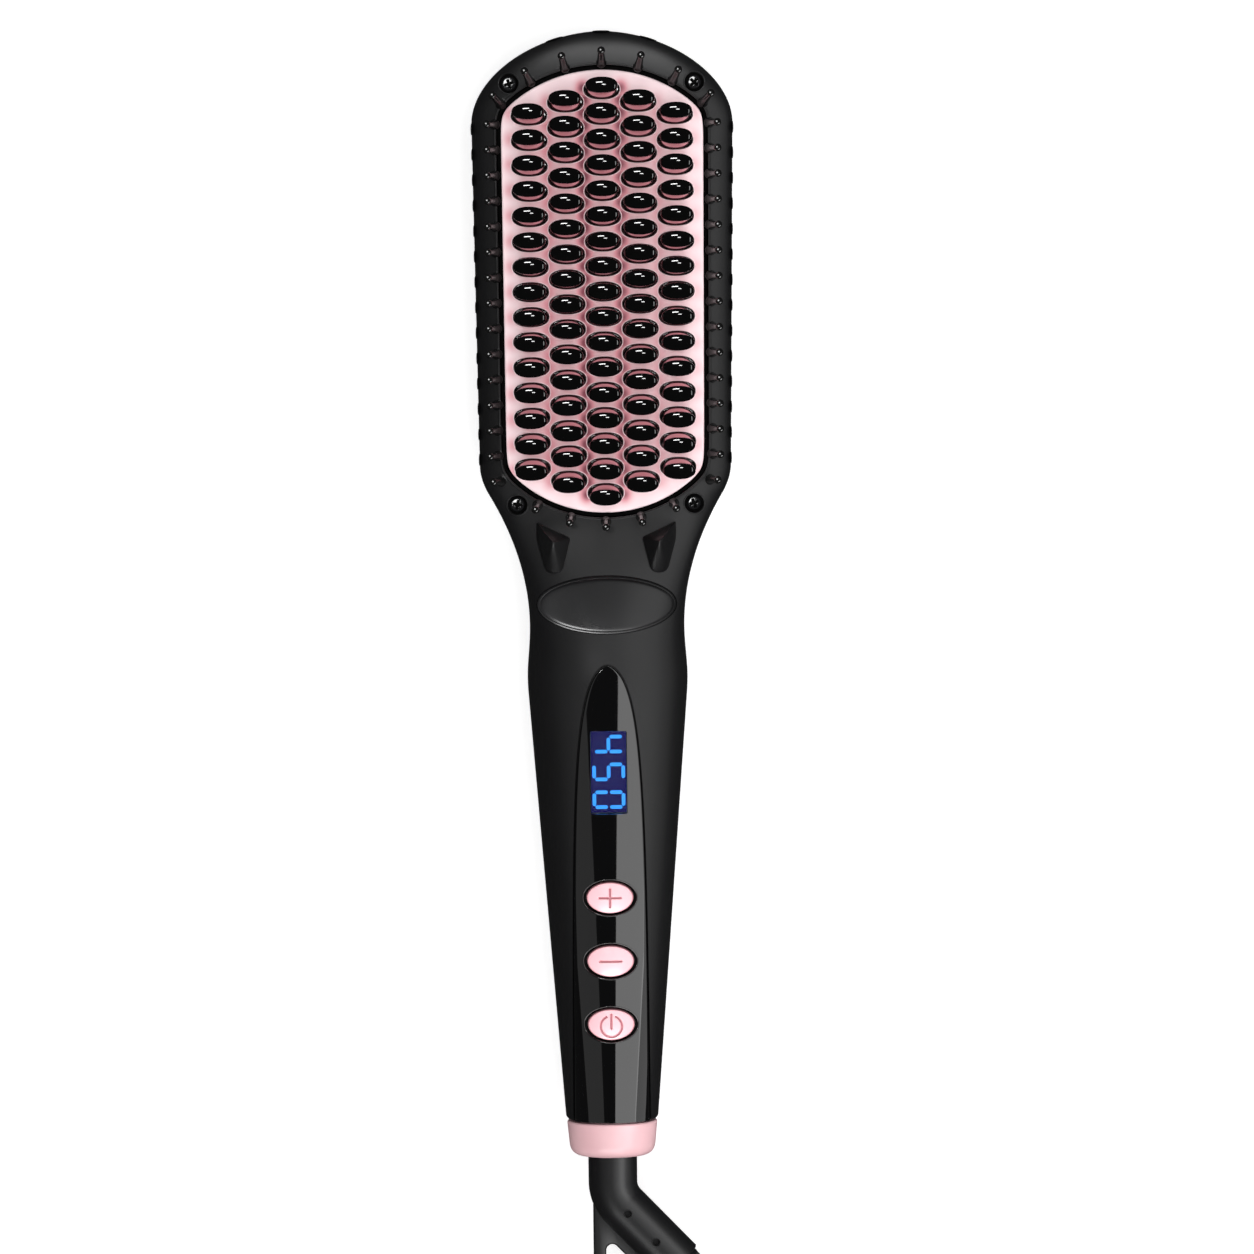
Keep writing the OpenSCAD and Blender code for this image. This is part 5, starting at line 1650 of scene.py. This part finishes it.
@dataclass(frozen=True)
class Buttons:
    """The three push buttons."""

    half_x: float = 5.7
    half_y: float = 3.8
    pitch: float = 15.6
    from_collar: float = 24.3
    flange_deep: float = 3.0
    flange_t: float = 0.8
    flange_out: float = 1.1
    stroke: float = 0.21
    stroke_flank: float = 0.24
    deep: float = 0.45
    sign_x: float = 2.6
    sign_y: float = 2.2
    power_gap: float = 24.0
    power_down: float = 0.35
    power_foot: float = -0.9
    nowhere: float = 9.0
    lift: float = 0.40
    crown: float = 0.42
    edge_from: float = 0.92
    edge_span: float = 0.08
    edge_fall: float = 0.55

    def places(self) -> list[float]:
        """Places of the buttons along the deck, from the plus button to the power button."""
        length = DECK.grip_l / math.cos(DECK.tilt())
        return [self.from_collar + (2 - i) * self.pitch - length for i in range(3)]

    def engraving(self, symbol: Symbol, x: np.ndarray, y: np.ndarray) -> np.ndarray:
        """Share of the engraving's depth at each place.

        Args:
            symbol: The sign.
            x: Places across the handle.
            y: Places along the handle.

        Returns:
            1 inside the strokes and 0 outside, with soft flanks.
        """
        def stroke(ax: float, ay: float, bx: float, by: float) -> np.ndarray:
            """Distance from a straight stroke.

            Args:
                ax: Start across the handle.
                ay: Start along it.
                bx: End across the handle.
                by: End along it.

            Returns:
                The distances.
            """
            share = np.clip(((x - ax) * (bx - ax) + (y - ay) * (by - ay))
                            / ((bx - ax) ** 2 + (by - ay) ** 2), 0.0, 1.0)
            return np.hypot(x - mix(ax, bx, share), y - mix(ay, by, share))

        if symbol is Symbol.MINUS:
            away = stroke(-self.sign_x, 0.0, self.sign_x, 0.0)
        elif symbol is Symbol.PLUS:
            away = np.minimum(stroke(-self.sign_x, 0.0, self.sign_x, 0.0),
                              stroke(0.0, -self.sign_y, 0.0, self.sign_y))
        else:
            open_top = np.abs(np.arctan2(x, y)) < math.radians(self.power_gap)
            circle = np.abs(np.hypot(x, y + self.power_down) - self.sign_x)
            away = np.minimum(np.where(open_top, self.nowhere, circle),
                              stroke(0.0, self.power_foot, 0.0, self.sign_x))
        return 1.0 - ease((away - self.stroke + self.stroke_flank / 2) / self.stroke_flank)

    def top(self, x: np.ndarray, y: np.ndarray, place: float) -> np.ndarray:
        """Height of a button's crowned top over the deck, before its edge is softened.

        Args:
            x: Places across the handle.
            y: Places along it, from the button's middle.
            place: The button's place along the deck.

        Returns:
            One value for each place.
        """
        world_y = DECK.world_y(place)
        half, rise = float(FORM.half_w(world_y)), float(FORM.height(world_y))
        radius = half * half / rise
        round_off = radius - np.sqrt(radius ** 2 - x ** 2)
        crown = self.crown * (1 - (x / self.half_x) ** 2 - (y / self.half_y) ** 2)
        return self.lift - round_off + crown

    def button(self, place: float, symbol: Symbol) -> Part:
        """One button in the deck's frame.

        Args:
            place: Its place along the deck.
            symbol: The sign on it.

        Returns:
            Its points and faces.
        """
        count, rings = 200, 66
        turn = full_turn(count)
        rows = []
        for z, grow in ((-self.flange_deep - self.flange_t, self.flange_out),
                        (-self.flange_deep, self.flange_out), (-self.flange_deep, 0.0)):
            places = oval(self.half_x + grow, self.half_y + grow, count)
            rows.append(at_height(places + np.array([0.0, place]), z))
        shares = np.concatenate([[1.0, 0.9985, 0.993, 0.983, 0.968, 0.95], np.linspace(0.93, 0.004, rings)])
        for share in shares:
            x, y = self.half_x * share * np.cos(turn), self.half_y * share * np.sin(turn)
            edge = np.clip((share - self.edge_from) / self.edge_span, 0.0, 1.0)
            fall = self.edge_fall * (1 - math.sqrt(max(0.0, 1 - edge ** 2.4)))
            z = self.top(x, y, place) - fall - self.deep * self.engraving(symbol, x, y)
            rows.append(np.stack([x, y + place, z], axis=1))
        return loft(np.array(rows))

    def build(self) -> None:
        """Builds and dresses the three buttons."""
        for place, symbol in zip(self.places(), Symbol):
            flat = self.button(place, symbol)
            piece = mesh_object(f"{symbol.value}_cap", placed(flat, DECK.matrix()), 60.0)
            x, y, z = flat[0][:, 0], flat[0][:, 1] - place, flat[0][:, 2]
            # Painted shade: 0.8 in the engraved strokes and 0.45 on each button's falling rim.
            painted_groove_shade = np.where(z > -0.8, self.engraving(symbol, x, y), 0.0)
            edge = np.clip((np.hypot(x / self.half_x, y / self.half_y) - 0.93) / 0.07, 0.0, 1.0)
            store_share(piece, "painted_groove_shade", 0.8 * painted_groove_shade + 0.45 * edge)
            WARDROBE.dress(piece, "pink_button", f"{symbol.value}_button", f"button_{symbol.value}")


@dataclass(frozen=True)
class Display:
    """The lit figures behind the lens."""

    centre: float = -22.0
    half_w: float = 4.46
    half_l: float = 10.11
    bars_z: float = -2.3
    figure_h: float = 7.9
    figure_w: float = 4.5
    pitch: float = 6.8
    bar: float = 0.86
    break_l: float = 0.5
    corner: float = 0.45

    def outline(self, grow: float) -> np.ndarray:
        """Outline of the window with its corners rounded.

        Args:
            grow: How far the outline is moved out.

        Returns:
            The outline's points.
        """
        made = []
        for sx, sy, start in ((1, 1, 0), (-1, 1, 90), (-1, -1, 180), (1, -1, 270)):
            for turn in np.radians(np.linspace(start, start + 90, 6)):
                made.append((sx * (self.half_w + grow - self.corner) + self.corner * math.cos(turn),
                             sy * (self.half_l + grow - self.corner) + self.corner * math.sin(turn)))
        return np.array(made)

    def bar_part(self, x: float, y: float, length: float, upright: bool) -> Part:
        """One bar with pointed ends.

        Args:
            x: Place of its middle across the figure.
            y: Place up the figure.
            length: Its length.
            upright: Whether it stands up the figure.

        Returns:
            Its points and faces.
        """
        w, h = self.bar / 2, length / 2
        end = [(h, 0.0), (h - w * 0.25, w * 0.55), (h - w * 0.62, w * 0.9), (h - w * 0.9, w)]
        right = end + [(a, -b) for a, b in reversed(end[1:])]
        shape = np.array([(a, b) for a, b in end] + [(-a, b) for a, b in reversed(end)]
                         + [(-a, -b) for a, b in end[1:]] + [(a, b) for a, b in right[4:]])
        if upright:
            shape = np.stack([-shape[:, 1], shape[:, 0]], axis=1)
        return prism(shape + np.array([x, y]), 0.0, 0.15)

    def figure(self, lit: str) -> Part:
        """A figure made of its lit bars, named a to g in the usual order.

        Args:
            lit: Letters of the lit bars.

        Returns:
            Their points and faces.
        """
        x, y = self.figure_w / 2 - self.bar / 2, self.figure_h / 2 - self.bar / 2
        flat, tall = self.figure_w - self.bar - self.break_l, self.figure_h / 2 - self.bar / 2 - self.break_l
        bars = {"a": (0.0, y, flat, False), "g": (0.0, 0.0, flat, False), "d": (0.0, -y, flat, False),
                "f": (-x, y / 2, tall, True), "e": (-x, -y / 2, tall, True),
                "b": (x, y / 2, tall, True), "c": (x, -y / 2, tall, True)}
        return gather([self.bar_part(*bars[name]) for name in lit])

    def build(self) -> None:
        """Builds and dresses the figures and the lens."""
        deck = DECK.matrix()
        turn = Matrix.Translation((0, self.centre, self.bars_z)) @ Matrix.Rotation(-math.pi / 2, 4, "Z")
        parts = [placed(self.figure(lit), deck @ turn @ Matrix.Translation(((i - 1) * self.pitch, 0, 0)))
                 for i, lit in enumerate(("fgbc", "afgcd", "abcdef"))]
        WARDROBE.add("lit_figures", gather(parts), 30.0, "digit_blue", BRUSH, "display_digits")
        top = DECK.world_y(self.centre) + self.half_l
        places = np.stack([np.linspace(top, top - 2 * self.half_l, 30), np.full(30, self.half_w)], axis=1)
        lens = strip(places, -DECK.proud + 0.04, DECK.sink + 0.2, 0.0, 16)
        WARDROBE.add("display_lens", lens, 30.0, "window", BRUSH, "display_window")


@dataclass(frozen=True)
class Collar:
    """The pink ring at the grip's end."""

    end_y: float = -203.1
    length: float = 9.1
    start_r: float = 11.1
    draft: float = 0.8
    edge: float = 3.0
    tube_r: float = 6.3
    gap: float = 0.5
    sleeve: tuple[float, float] = (8.0, 8.6)
    sleeve_foot: float = -2.4
    floor_at: float = 2.0

    def build(self) -> None:
        """Builds and dresses the ring."""
        end_r = self.start_r - self.draft
        sleeve_in, sleeve_out = self.sleeve
        profile = filleted([(sleeve_out, self.sleeve_foot, 0.0), (sleeve_out, self.gap, 0.0),
                            (self.start_r - 0.3, self.gap, 0.0),
                            (self.start_r, self.gap + 0.3, 0.25), (end_r, self.length, self.edge),
                            (self.tube_r + 0.35, self.length, 0.2), (self.tube_r, self.length - 0.35, 0.1),
                            (self.tube_r, self.floor_at, 0.0), (sleeve_in, self.floor_at, 0.0),
                            (sleeve_in, self.sleeve_foot, 0.0)], 10)
        rows = np.stack([level_circle(r, 128, h) for r, h in profile])
        way = Matrix.Translation((0, self.end_y, FORM.part_z)) @ Matrix.Rotation(math.pi / 2, 4, "X")
        WARDROBE.add("pink_ring", placed(ring(rows), way), 35.0, "pink_collar", BRUSH, "end_collar")


@dataclass(frozen=True)
class Swivel:
    """The elbow with its hanging loop, and the ribbed cord guard."""

    start_y: float = -209.7
    knee_y: float = -222.5
    tube_r: float = 6.0
    bend: float = 44.0
    bend_r: float = 9.0
    arm_l: float = 23.0
    passage_r: float = 3.6
    bore_r: float = 3.3
    loop_w: float = 3.15
    loop_t: float = 3.4
    rib_r: float = 5.2
    core_r: float = 4.1
    rib_pitch: float = 3.0
    rib_t: float = 1.5
    rib_rows: int = 5
    web_w: float = 2.4
    pits_at: tuple[tuple[float, float, float], ...] = (
        (5.2, 180.0, 0.9), (15.1, 180.0, 0.9), (17.0, -5.0, 0.7), (16.2, 38.0, 0.5))
    pit_deep: float = 2.1
    loop_l: float = 31.7
    loop_edge: float = -4.95
    loop_web: float = 2.0
    loop_soft: float = 0.55
    rib_draft: float = 0.08

    def arm_way(self) -> np.ndarray:
        """Direction of the arm."""
        turn = math.radians(self.bend)
        return np.array([math.sin(turn), -math.cos(turn), 0.0])

    def arm(self) -> Matrix:
        """Frame whose z runs out along the arm from the knee."""
        return (Matrix.Translation((0, self.knee_y, FORM.part_z))
                @ Matrix.Rotation(math.radians(self.bend), 4, "Z") @ Matrix.Rotation(math.pi / 2, 4, "X"))

    def path(self) -> Points:
        """Middle line of the elbow from the collar to the arm's end.

        Returns:
            The line's points.
        """
        turn = math.radians(self.bend)
        tangent = self.bend_r * math.tan(turn / 2)
        straight = [(0.0, y) for y in np.linspace(self.start_y, self.knee_y + tangent, 8)[:-1]]
        centre = np.array([self.bend_r, self.knee_y + tangent])
        curve = [tuple(centre + self.bend_r * np.array([-math.cos(t), -math.sin(t)]))
                 for t in np.linspace(0.0, turn, 20)]
        way = self.arm_way()[:2]
        knee = np.array([0.0, self.knee_y])
        arm = [tuple(knee + way * d) for d in np.linspace(tangent, self.arm_l, 16)[1:]]
        return at_height(np.array(straight + curve + arm), FORM.part_z)

    def tube(self) -> Part:
        """The elbow's tube, open at the arm's end.

        Returns:
            Its points and faces.
        """
        path = self.path()
        outer = self.sweep(path, self.tube_r)
        rim = self.sweep(path[-1:], self.tube_r - 0.35, path[-1] - path[-2], 0.3)
        inner = self.sweep(path[::-1], self.passage_r, None, 0.3)
        return loft(np.concatenate([outer, rim, inner]))

    def sweep(self, path: Points, radius: float, way: np.ndarray | None = None, past: float = 0.0) -> Points:
        """Circles of one radius along a level path, all turned the same way.

        Args:
            path: Middle points.
            radius: Radius of the circles.
            way: Direction for a path of one point.
            past: How far the first circle is moved along the arm.

        Returns:
            The circles, as an array of shape (circles, points, 3).
        """
        turn = full_turn(64)
        rows = []
        for i, spot in enumerate(path):
            along = way
            if along is None:
                along = path[min(i + 1, len(path) - 1)] - path[max(i - 1, 0)]
            along = along / np.linalg.norm(along)
            if along[1] > 0:
                along = -along
            side = np.array([-along[1], along[0], 0.0])
            centre = spot + (along * past if i == 0 else 0.0)
            rows.append(centre + radius * np.cos(turn)[:, None] * side
                        + radius * np.sin(turn)[:, None] * np.array([0.0, 0.0, 1.0]))
        return np.array(rows)

    def beside_arm(self, along: float, across: float) -> np.ndarray:
        """Place along the arm from the knee, and across from its middle towards the loop."""
        way = self.arm_way()
        return np.array([way[0] * along + way[1] * across, self.knee_y + way[1] * along - way[0] * across])

    def loop(self) -> Part:
        """The flat hanging loop: a three-cornered frame with rounded edges.

        Returns:
            Its points and faces.
        """
        x = self.loop_edge + self.loop_w
        way = self.arm_way()
        side = self.tube_r + self.loop_web + 1.5
        top = np.array([x + 1.5, self.knee_y - (side - (x + 1.5) * way[1]) / way[0]])
        end = np.array([x + 2.0, self.knee_y - self.loop_l + self.loop_w + 2.0])
        foot = self.beside_arm(self.arm_l - 4.6, self.tube_r + self.loop_web + 1.2)
        root = np.array([self.loop_edge + 2, self.knee_y - 1.5])
        outer = [(root, 2.0), (end, 2.0 + self.loop_w), (foot, 3.9)]
        inner = [(top, 1.5), (end, 2.0), (foot, 1.2)]
        half = self.loop_t / 2
        edge = [(self.loop_soft, -half), (0.15, -half + 0.2), (0.0, -half + self.loop_soft)]
        edge += [(inset, -lift) for inset, lift in reversed(edge)]
        rows = [at_height(self.wrapped(outer, -inset), FORM.part_z + lift) for inset, lift in edge]
        rows += [at_height(self.wrapped(inner, inset), FORM.part_z + lift) for inset, lift in reversed(edge)]
        return ring(np.array(rows))

    def wrapped(self, circles: list[tuple[np.ndarray, float]], grow: float) -> np.ndarray:
        """Outline of a string pulled round three circles.

        Args:
            circles: Middle and radius of each.
            grow: How much is added to every radius.

        Returns:
            Rows of x and y, anticlockwise.
        """
        made = []
        for turn in full_turn(120):
            out = np.array([math.cos(turn), math.sin(turn)])
            middle, radius = max(circles, key=lambda circle: float(circle[0] @ out) + circle[1])
            made.append(middle + (radius + grow) * out)
        return np.array(made)

    def guard(self) -> Part:
        """The ribs, the webs between them and the core.

        Returns:
            Their points and faces.
        """
        length = self.rib_rows * self.rib_pitch + self.rib_t + 1.2
        parts = [lathe(filleted([(self.bore_r, 0.0, 0.0), (self.core_r, 0.0, 0.0),
                                 (self.core_r, length, 0.25), (self.bore_r, length, 0.2),
                                 (self.bore_r, 0.0, 0.0)]), 64)]
        for i in range(self.rib_rows + 1):
            base, out, root = i * self.rib_pitch, self.rib_r - self.rib_draft * i, self.core_r - 0.3
            top = base + self.rib_t
            profile = filleted([(root, base, 0.0), (out, base, 0.3), (out, top, 0.3), (root, top, 0.0)], 5)
            parts.append(lathe(profile, 64))
        for i in range(self.rib_rows):
            out = self.rib_r - self.rib_draft * i - 0.15
            base = i * self.rib_pitch + self.rib_t - 0.1
            high = self.rib_pitch - self.rib_t + 0.2
            for quarter in range(4):
                half = self.web_w / 2
                outline = np.array([[self.core_r - 0.4, -half], [out, -half * 0.9], [out, half * 0.9],
                                    [self.core_r - 0.4, half]])
                web = prism(outline, base, base + high)
                parts.append(placed(web, Matrix.Rotation(math.radians(90 * quarter + 45 * (i % 2)), 4, "Z")))
        return gather(parts)

    def pit_way(self, along: float, turn: float) -> Matrix:
        """Frame whose z runs out of the arm's side at a place."""
        return (self.arm() @ Matrix.Translation((0, 0, along)) @ Matrix.Rotation(math.radians(turn), 4, "Z")
                @ Matrix.Rotation(math.pi / 2, 4, "X"))

    def pits(self) -> list[Part]:
        """The small blind holes in the arm."""
        return [placed(lathe(np.array([[r, self.tube_r - self.pit_deep], [r, self.tube_r + 1.0]]), 32),
                       self.pit_way(along, turn)) for along, turn, r in self.pits_at]

    def pit_rims(self) -> Part:
        """The fine raised edges of the small holes.

        Returns:
            Their points and faces.
        """
        parts = []
        for along, turn, r in self.pits_at:
            flat = oval(r + 0.09, r + 0.09, 40)
            lift = np.sqrt(self.tube_r ** 2 - flat[:, 0] ** 2)
            parts.append(placed(bead(np.column_stack([flat, lift]), 0.11, 8), self.pit_way(along, turn)))
        return gather(parts)

    def build(self) -> None:
        """Builds and dresses the elbow, its loop and the guard."""
        elbow = mesh_object("elbow_tube", self.tube(), 40.0)
        carve(elbow, self.pits(), 35.0)
        WARDROBE.dress(elbow, "swivel_black", SWIVEL, "swivel_elbow")
        WARDROBE.add("hanging_loop", self.loop(), 50.0, "swivel_black", SWIVEL)
        WARDROBE.add("pit_rims", self.pit_rims(), 60.0, "swivel_black", SWIVEL)
        guard = placed(self.guard(), self.arm() @ Matrix.Translation((0, 0, self.arm_l)))
        WARDROBE.add("ribbed_guard", guard, 40.0, "guard_black", SWIVEL, "strain_relief")


# Studio

TOOTH_TOPS = ("domed_caps", "tooth_foot_rings")
SMALL_HEADS = ("ball_pins", "corner_screws")
GLINTS = TOOTH_TOPS + SMALL_HEADS
BUTTON_CAPS = ("plus_cap", "minus_cap", "power_cap")
END_PIECES = ("pink_ring", "elbow_tube", "hanging_loop", "ribbed_guard")


@dataclass(frozen=True)
class Card:
    """One soft light. Lengths are metres."""

    name: str
    place: tuple[float, float, float]
    aim: tuple[float, float, float]
    size: tuple[float, float]
    radiance: float
    only: tuple[str, ...] = ()
    never: tuple[str, ...] = ()
    mirrored: bool = True

    def build(self) -> None:
        """Adds the light, which the camera itself doesn't see."""
        data = bpy.data.lights.new(self.name, "AREA")
        data.shape = "RECTANGLE"
        data.size, data.size_y = self.size
        data.energy = self.radiance * math.pi * self.size[0] * self.size[1]
        made = add_object(self.name, data)
        back = (Vector(self.place) - Vector(self.aim)).normalized()
        across = (Vector((1.0, 0.0, 0.0)) - back * back.x).normalized()
        made.matrix_world = standing(self.place, across, back.cross(across), back)
        made.visible_camera = False
        made.visible_glossy = self.mirrored
        if self.only or self.never:
            self.flag(made)

    def flag(self, made: bpy.types.Object) -> None:
        """Keeps the light to some pieces, or off them.

        Args:
            made: The light.
        """
        group = bpy.data.collections.new(f"{self.name}_reach")
        made.light_linking.receiver_collection = group
        for name in self.only or self.never:
            group.objects.link(bpy.data.objects[name])
        for entry in group.collection_objects:
            entry.light_linking.link_state = "INCLUDE" if self.only else "EXCLUDE"


# A pale floor with a little light of its own, as a lit sweep has
FLOOR_FINISH = LitFinish("pale_floor", (0.60, 0.60, 0.60), roughness=0.9, specular=0.0, grain=0.02,
                         uneven=0.004, glow=(1.0, 1.0, 1.0), strength=0.62)


@dataclass(frozen=True)
class Studio:
    """Floor, world, lights and camera. Lengths are metres."""

    eye: tuple[float, float, float] = (0.0, 0.00045, 1.617)
    aim: tuple[float, float, float] = (0.00486, -0.08215, 0.017)
    photo_w: float = 0.30723
    roll: float = 0.0103
    sensor: float = 36.0
    near_end: float = 0.05
    far_end: float = 20.0
    floor_half: float = 3.0
    floor_gap: float = 0.0002
    air: float = 0.025
    cards: tuple[Card, ...] = (
        Card("sky_card", (0.0, 0.0, 2.3), (0.0, 0.0, 0.0), (2.4, 2.4), 2.0, mirrored=False),
        Card("right_card", (1.20, -0.15, 1.25), (1.20, -0.15, 0.0), (2.07, 2.4), 1.2,
             never=GLINTS + ("display_lens",)),
        Card("right_wall", (2.15, -0.15, 0.60), (0.0, -0.15, 0.0), (1.3, 2.4), 0.55, never=GLINTS),
        Card("left_card", (-1.35, -0.15, 1.25), (-1.35, -0.15, 0.0), (1.8, 2.4), 0.17, never=GLINTS),
        Card("foot_card", (0.0, -1.15, 1.0), (0.0, -0.15, 0.0), (1.4, 0.7), 3.0, never=GLINTS),
        Card("tip_card", (0.1, 1.05, 0.85), (0.0, 0.06, 0.0), (0.9, 0.55), 5.0,
             only=("front_half", "shell_lips")),
        Card("badge_card", (-0.75, -0.95, 0.85), (0.0, -0.076, 0.0), (1.3, 0.8), 16.0, only=("oval_pad",)),
        Card("button_card", (0.0, -0.90, 1.15), (0.0, -0.16, 0.0), (1.0, 0.35), 12.0, only=BUTTON_CAPS),
        Card("main_lamp", (-0.27, 0.16, 1.62), (0.0, 0.0, 0.0), (0.16, 0.10), 30.0, never=GLINTS),
        Card("end_card", (0.95, -0.22, 1.00), (0.0, -0.22, 0.0), (0.55, 1.2), 2.4, only=END_PIECES),
        Card("left_glint", (-0.22, 0.44, 1.0), (0.0, 0.0, 0.0), (0.66, 0.07), 24.0, only=TOOTH_TOPS),
        Card("right_glint", (0.24, 0.20, 1.0), (0.0, 0.0, 0.0), (0.30, 0.065), 17.0, only=TOOTH_TOPS),
        Card("side_glint", (0.95, 0.0, 0.22), (0.0, 0.0, 0.02), (0.08, 0.30), 3.5, only=TOOTH_TOPS),
        Card("head_glint", (-0.35, 0.40, 1.1), (0.0, 0.0, 0.0), (0.85, 0.85), 26.0, only=SMALL_HEADS),
        Card("edge_glint", (0.75, -0.85, 0.45), (0.0, 0.0, 0.0), (1.00, 0.50), 14.0, only=SMALL_HEADS),
    )

    def floor(self) -> None:
        """Plain pale floor under the brush."""
        corners = [(x * self.floor_half, y * self.floor_half, -self.floor_gap)
                   for x, y in ((-1, -1), (1, -1), (1, 1), (-1, 1))]
        mesh = bpy.data.meshes.new("pale_floor")
        mesh.from_pydata(corners, [], [(0, 1, 2, 3)])
        made = add_object("pale_floor", mesh)
        mesh.materials.append(FLOOR_FINISH.material())
        made.visible_glossy = False

    def world(self) -> None:
        """Even light from all round."""
        world = bpy.data.worlds.new("studio")
        world.use_nodes = True
        light = world.node_tree.nodes["Background"]
        light.inputs["Color"].default_value = (1.0, 1.0, 1.0, 1.0)
        light.inputs["Strength"].default_value = self.air
        bpy.context.scene.world = world
        bpy.context.scene.view_settings.view_transform = "Standard"

    def camera(self) -> None:
        """Camera at the photograph's place, high above the heating plate."""
        eye, aim = Vector(self.eye), Vector(self.aim)
        forward = (aim - eye).normalized()
        right = forward.cross(Vector((self.roll, 1.0, 0.0))).normalized()
        up = right.cross(forward)
        data = bpy.data.cameras.new("camera")
        data.sensor_width = self.sensor
        data.lens = self.sensor * (aim - eye).length / self.photo_w
        data.clip_start, data.clip_end = self.near_end, self.far_end
        made = add_object("camera", data)
        made.matrix_world = standing(eye, right, up, -forward)
        bpy.context.scene.camera = made

    def build(self) -> None:
        """Sets up the studio."""
        self.camera()
        self.world()
        self.floor()
        for card in self.cards:
            card.build()


KEPT_NODES = {
    "plate_gasket": "seal", "handle_screws": "screw_dark",
    "heater_element": "ceramic", "mica_sheet": "mica", "heater_clamp": "clamp_steel",
    "clamp_screws": "screw_bright", "insulation_pad": "insulation", "heat_shield": "clamp_steel",
    "thermistor": "sensor", "thermal_fuse": "fuse_metal", "heater_leads": "wire_red",
    "display_module": "display_body", "plunger_plus": "plunger_white", "plunger_minus": "plunger_white",
    "plunger_power": "plunger_white", "tact_switches": "switch_black", "control_pcb": "board_green",
    "pcb_parts": "part_grey", "pcb_screws": "screw_bright", "slip_rings": "contact_brass",
    "retaining_clip": "clip_steel", "swivel_bush": "bush_white", "contact_block": "bush_white",
    "contact_springs": "contact_brass", "mains_leads": "wire_red",
}


def main() -> None:
    """Builds every sub-assembly in order, then the studio."""
    logging.basicConfig(level=logging.INFO, format="%(name)s: %(message)s")
    for assembly in (Shells(), Badge(), HeatingPlate(), HeadScrews(), ToothCaps(), EdgePins(), Panel(),
                     Buttons(), Display(), Collar(), Swivel(), Studio()):
        assembly.build()
        LOG.info("%s done", type(assembly).__name__)
    WARDROBE.dress_nodes(KEPT_NODES)


if __name__ == "__main__":
    main()
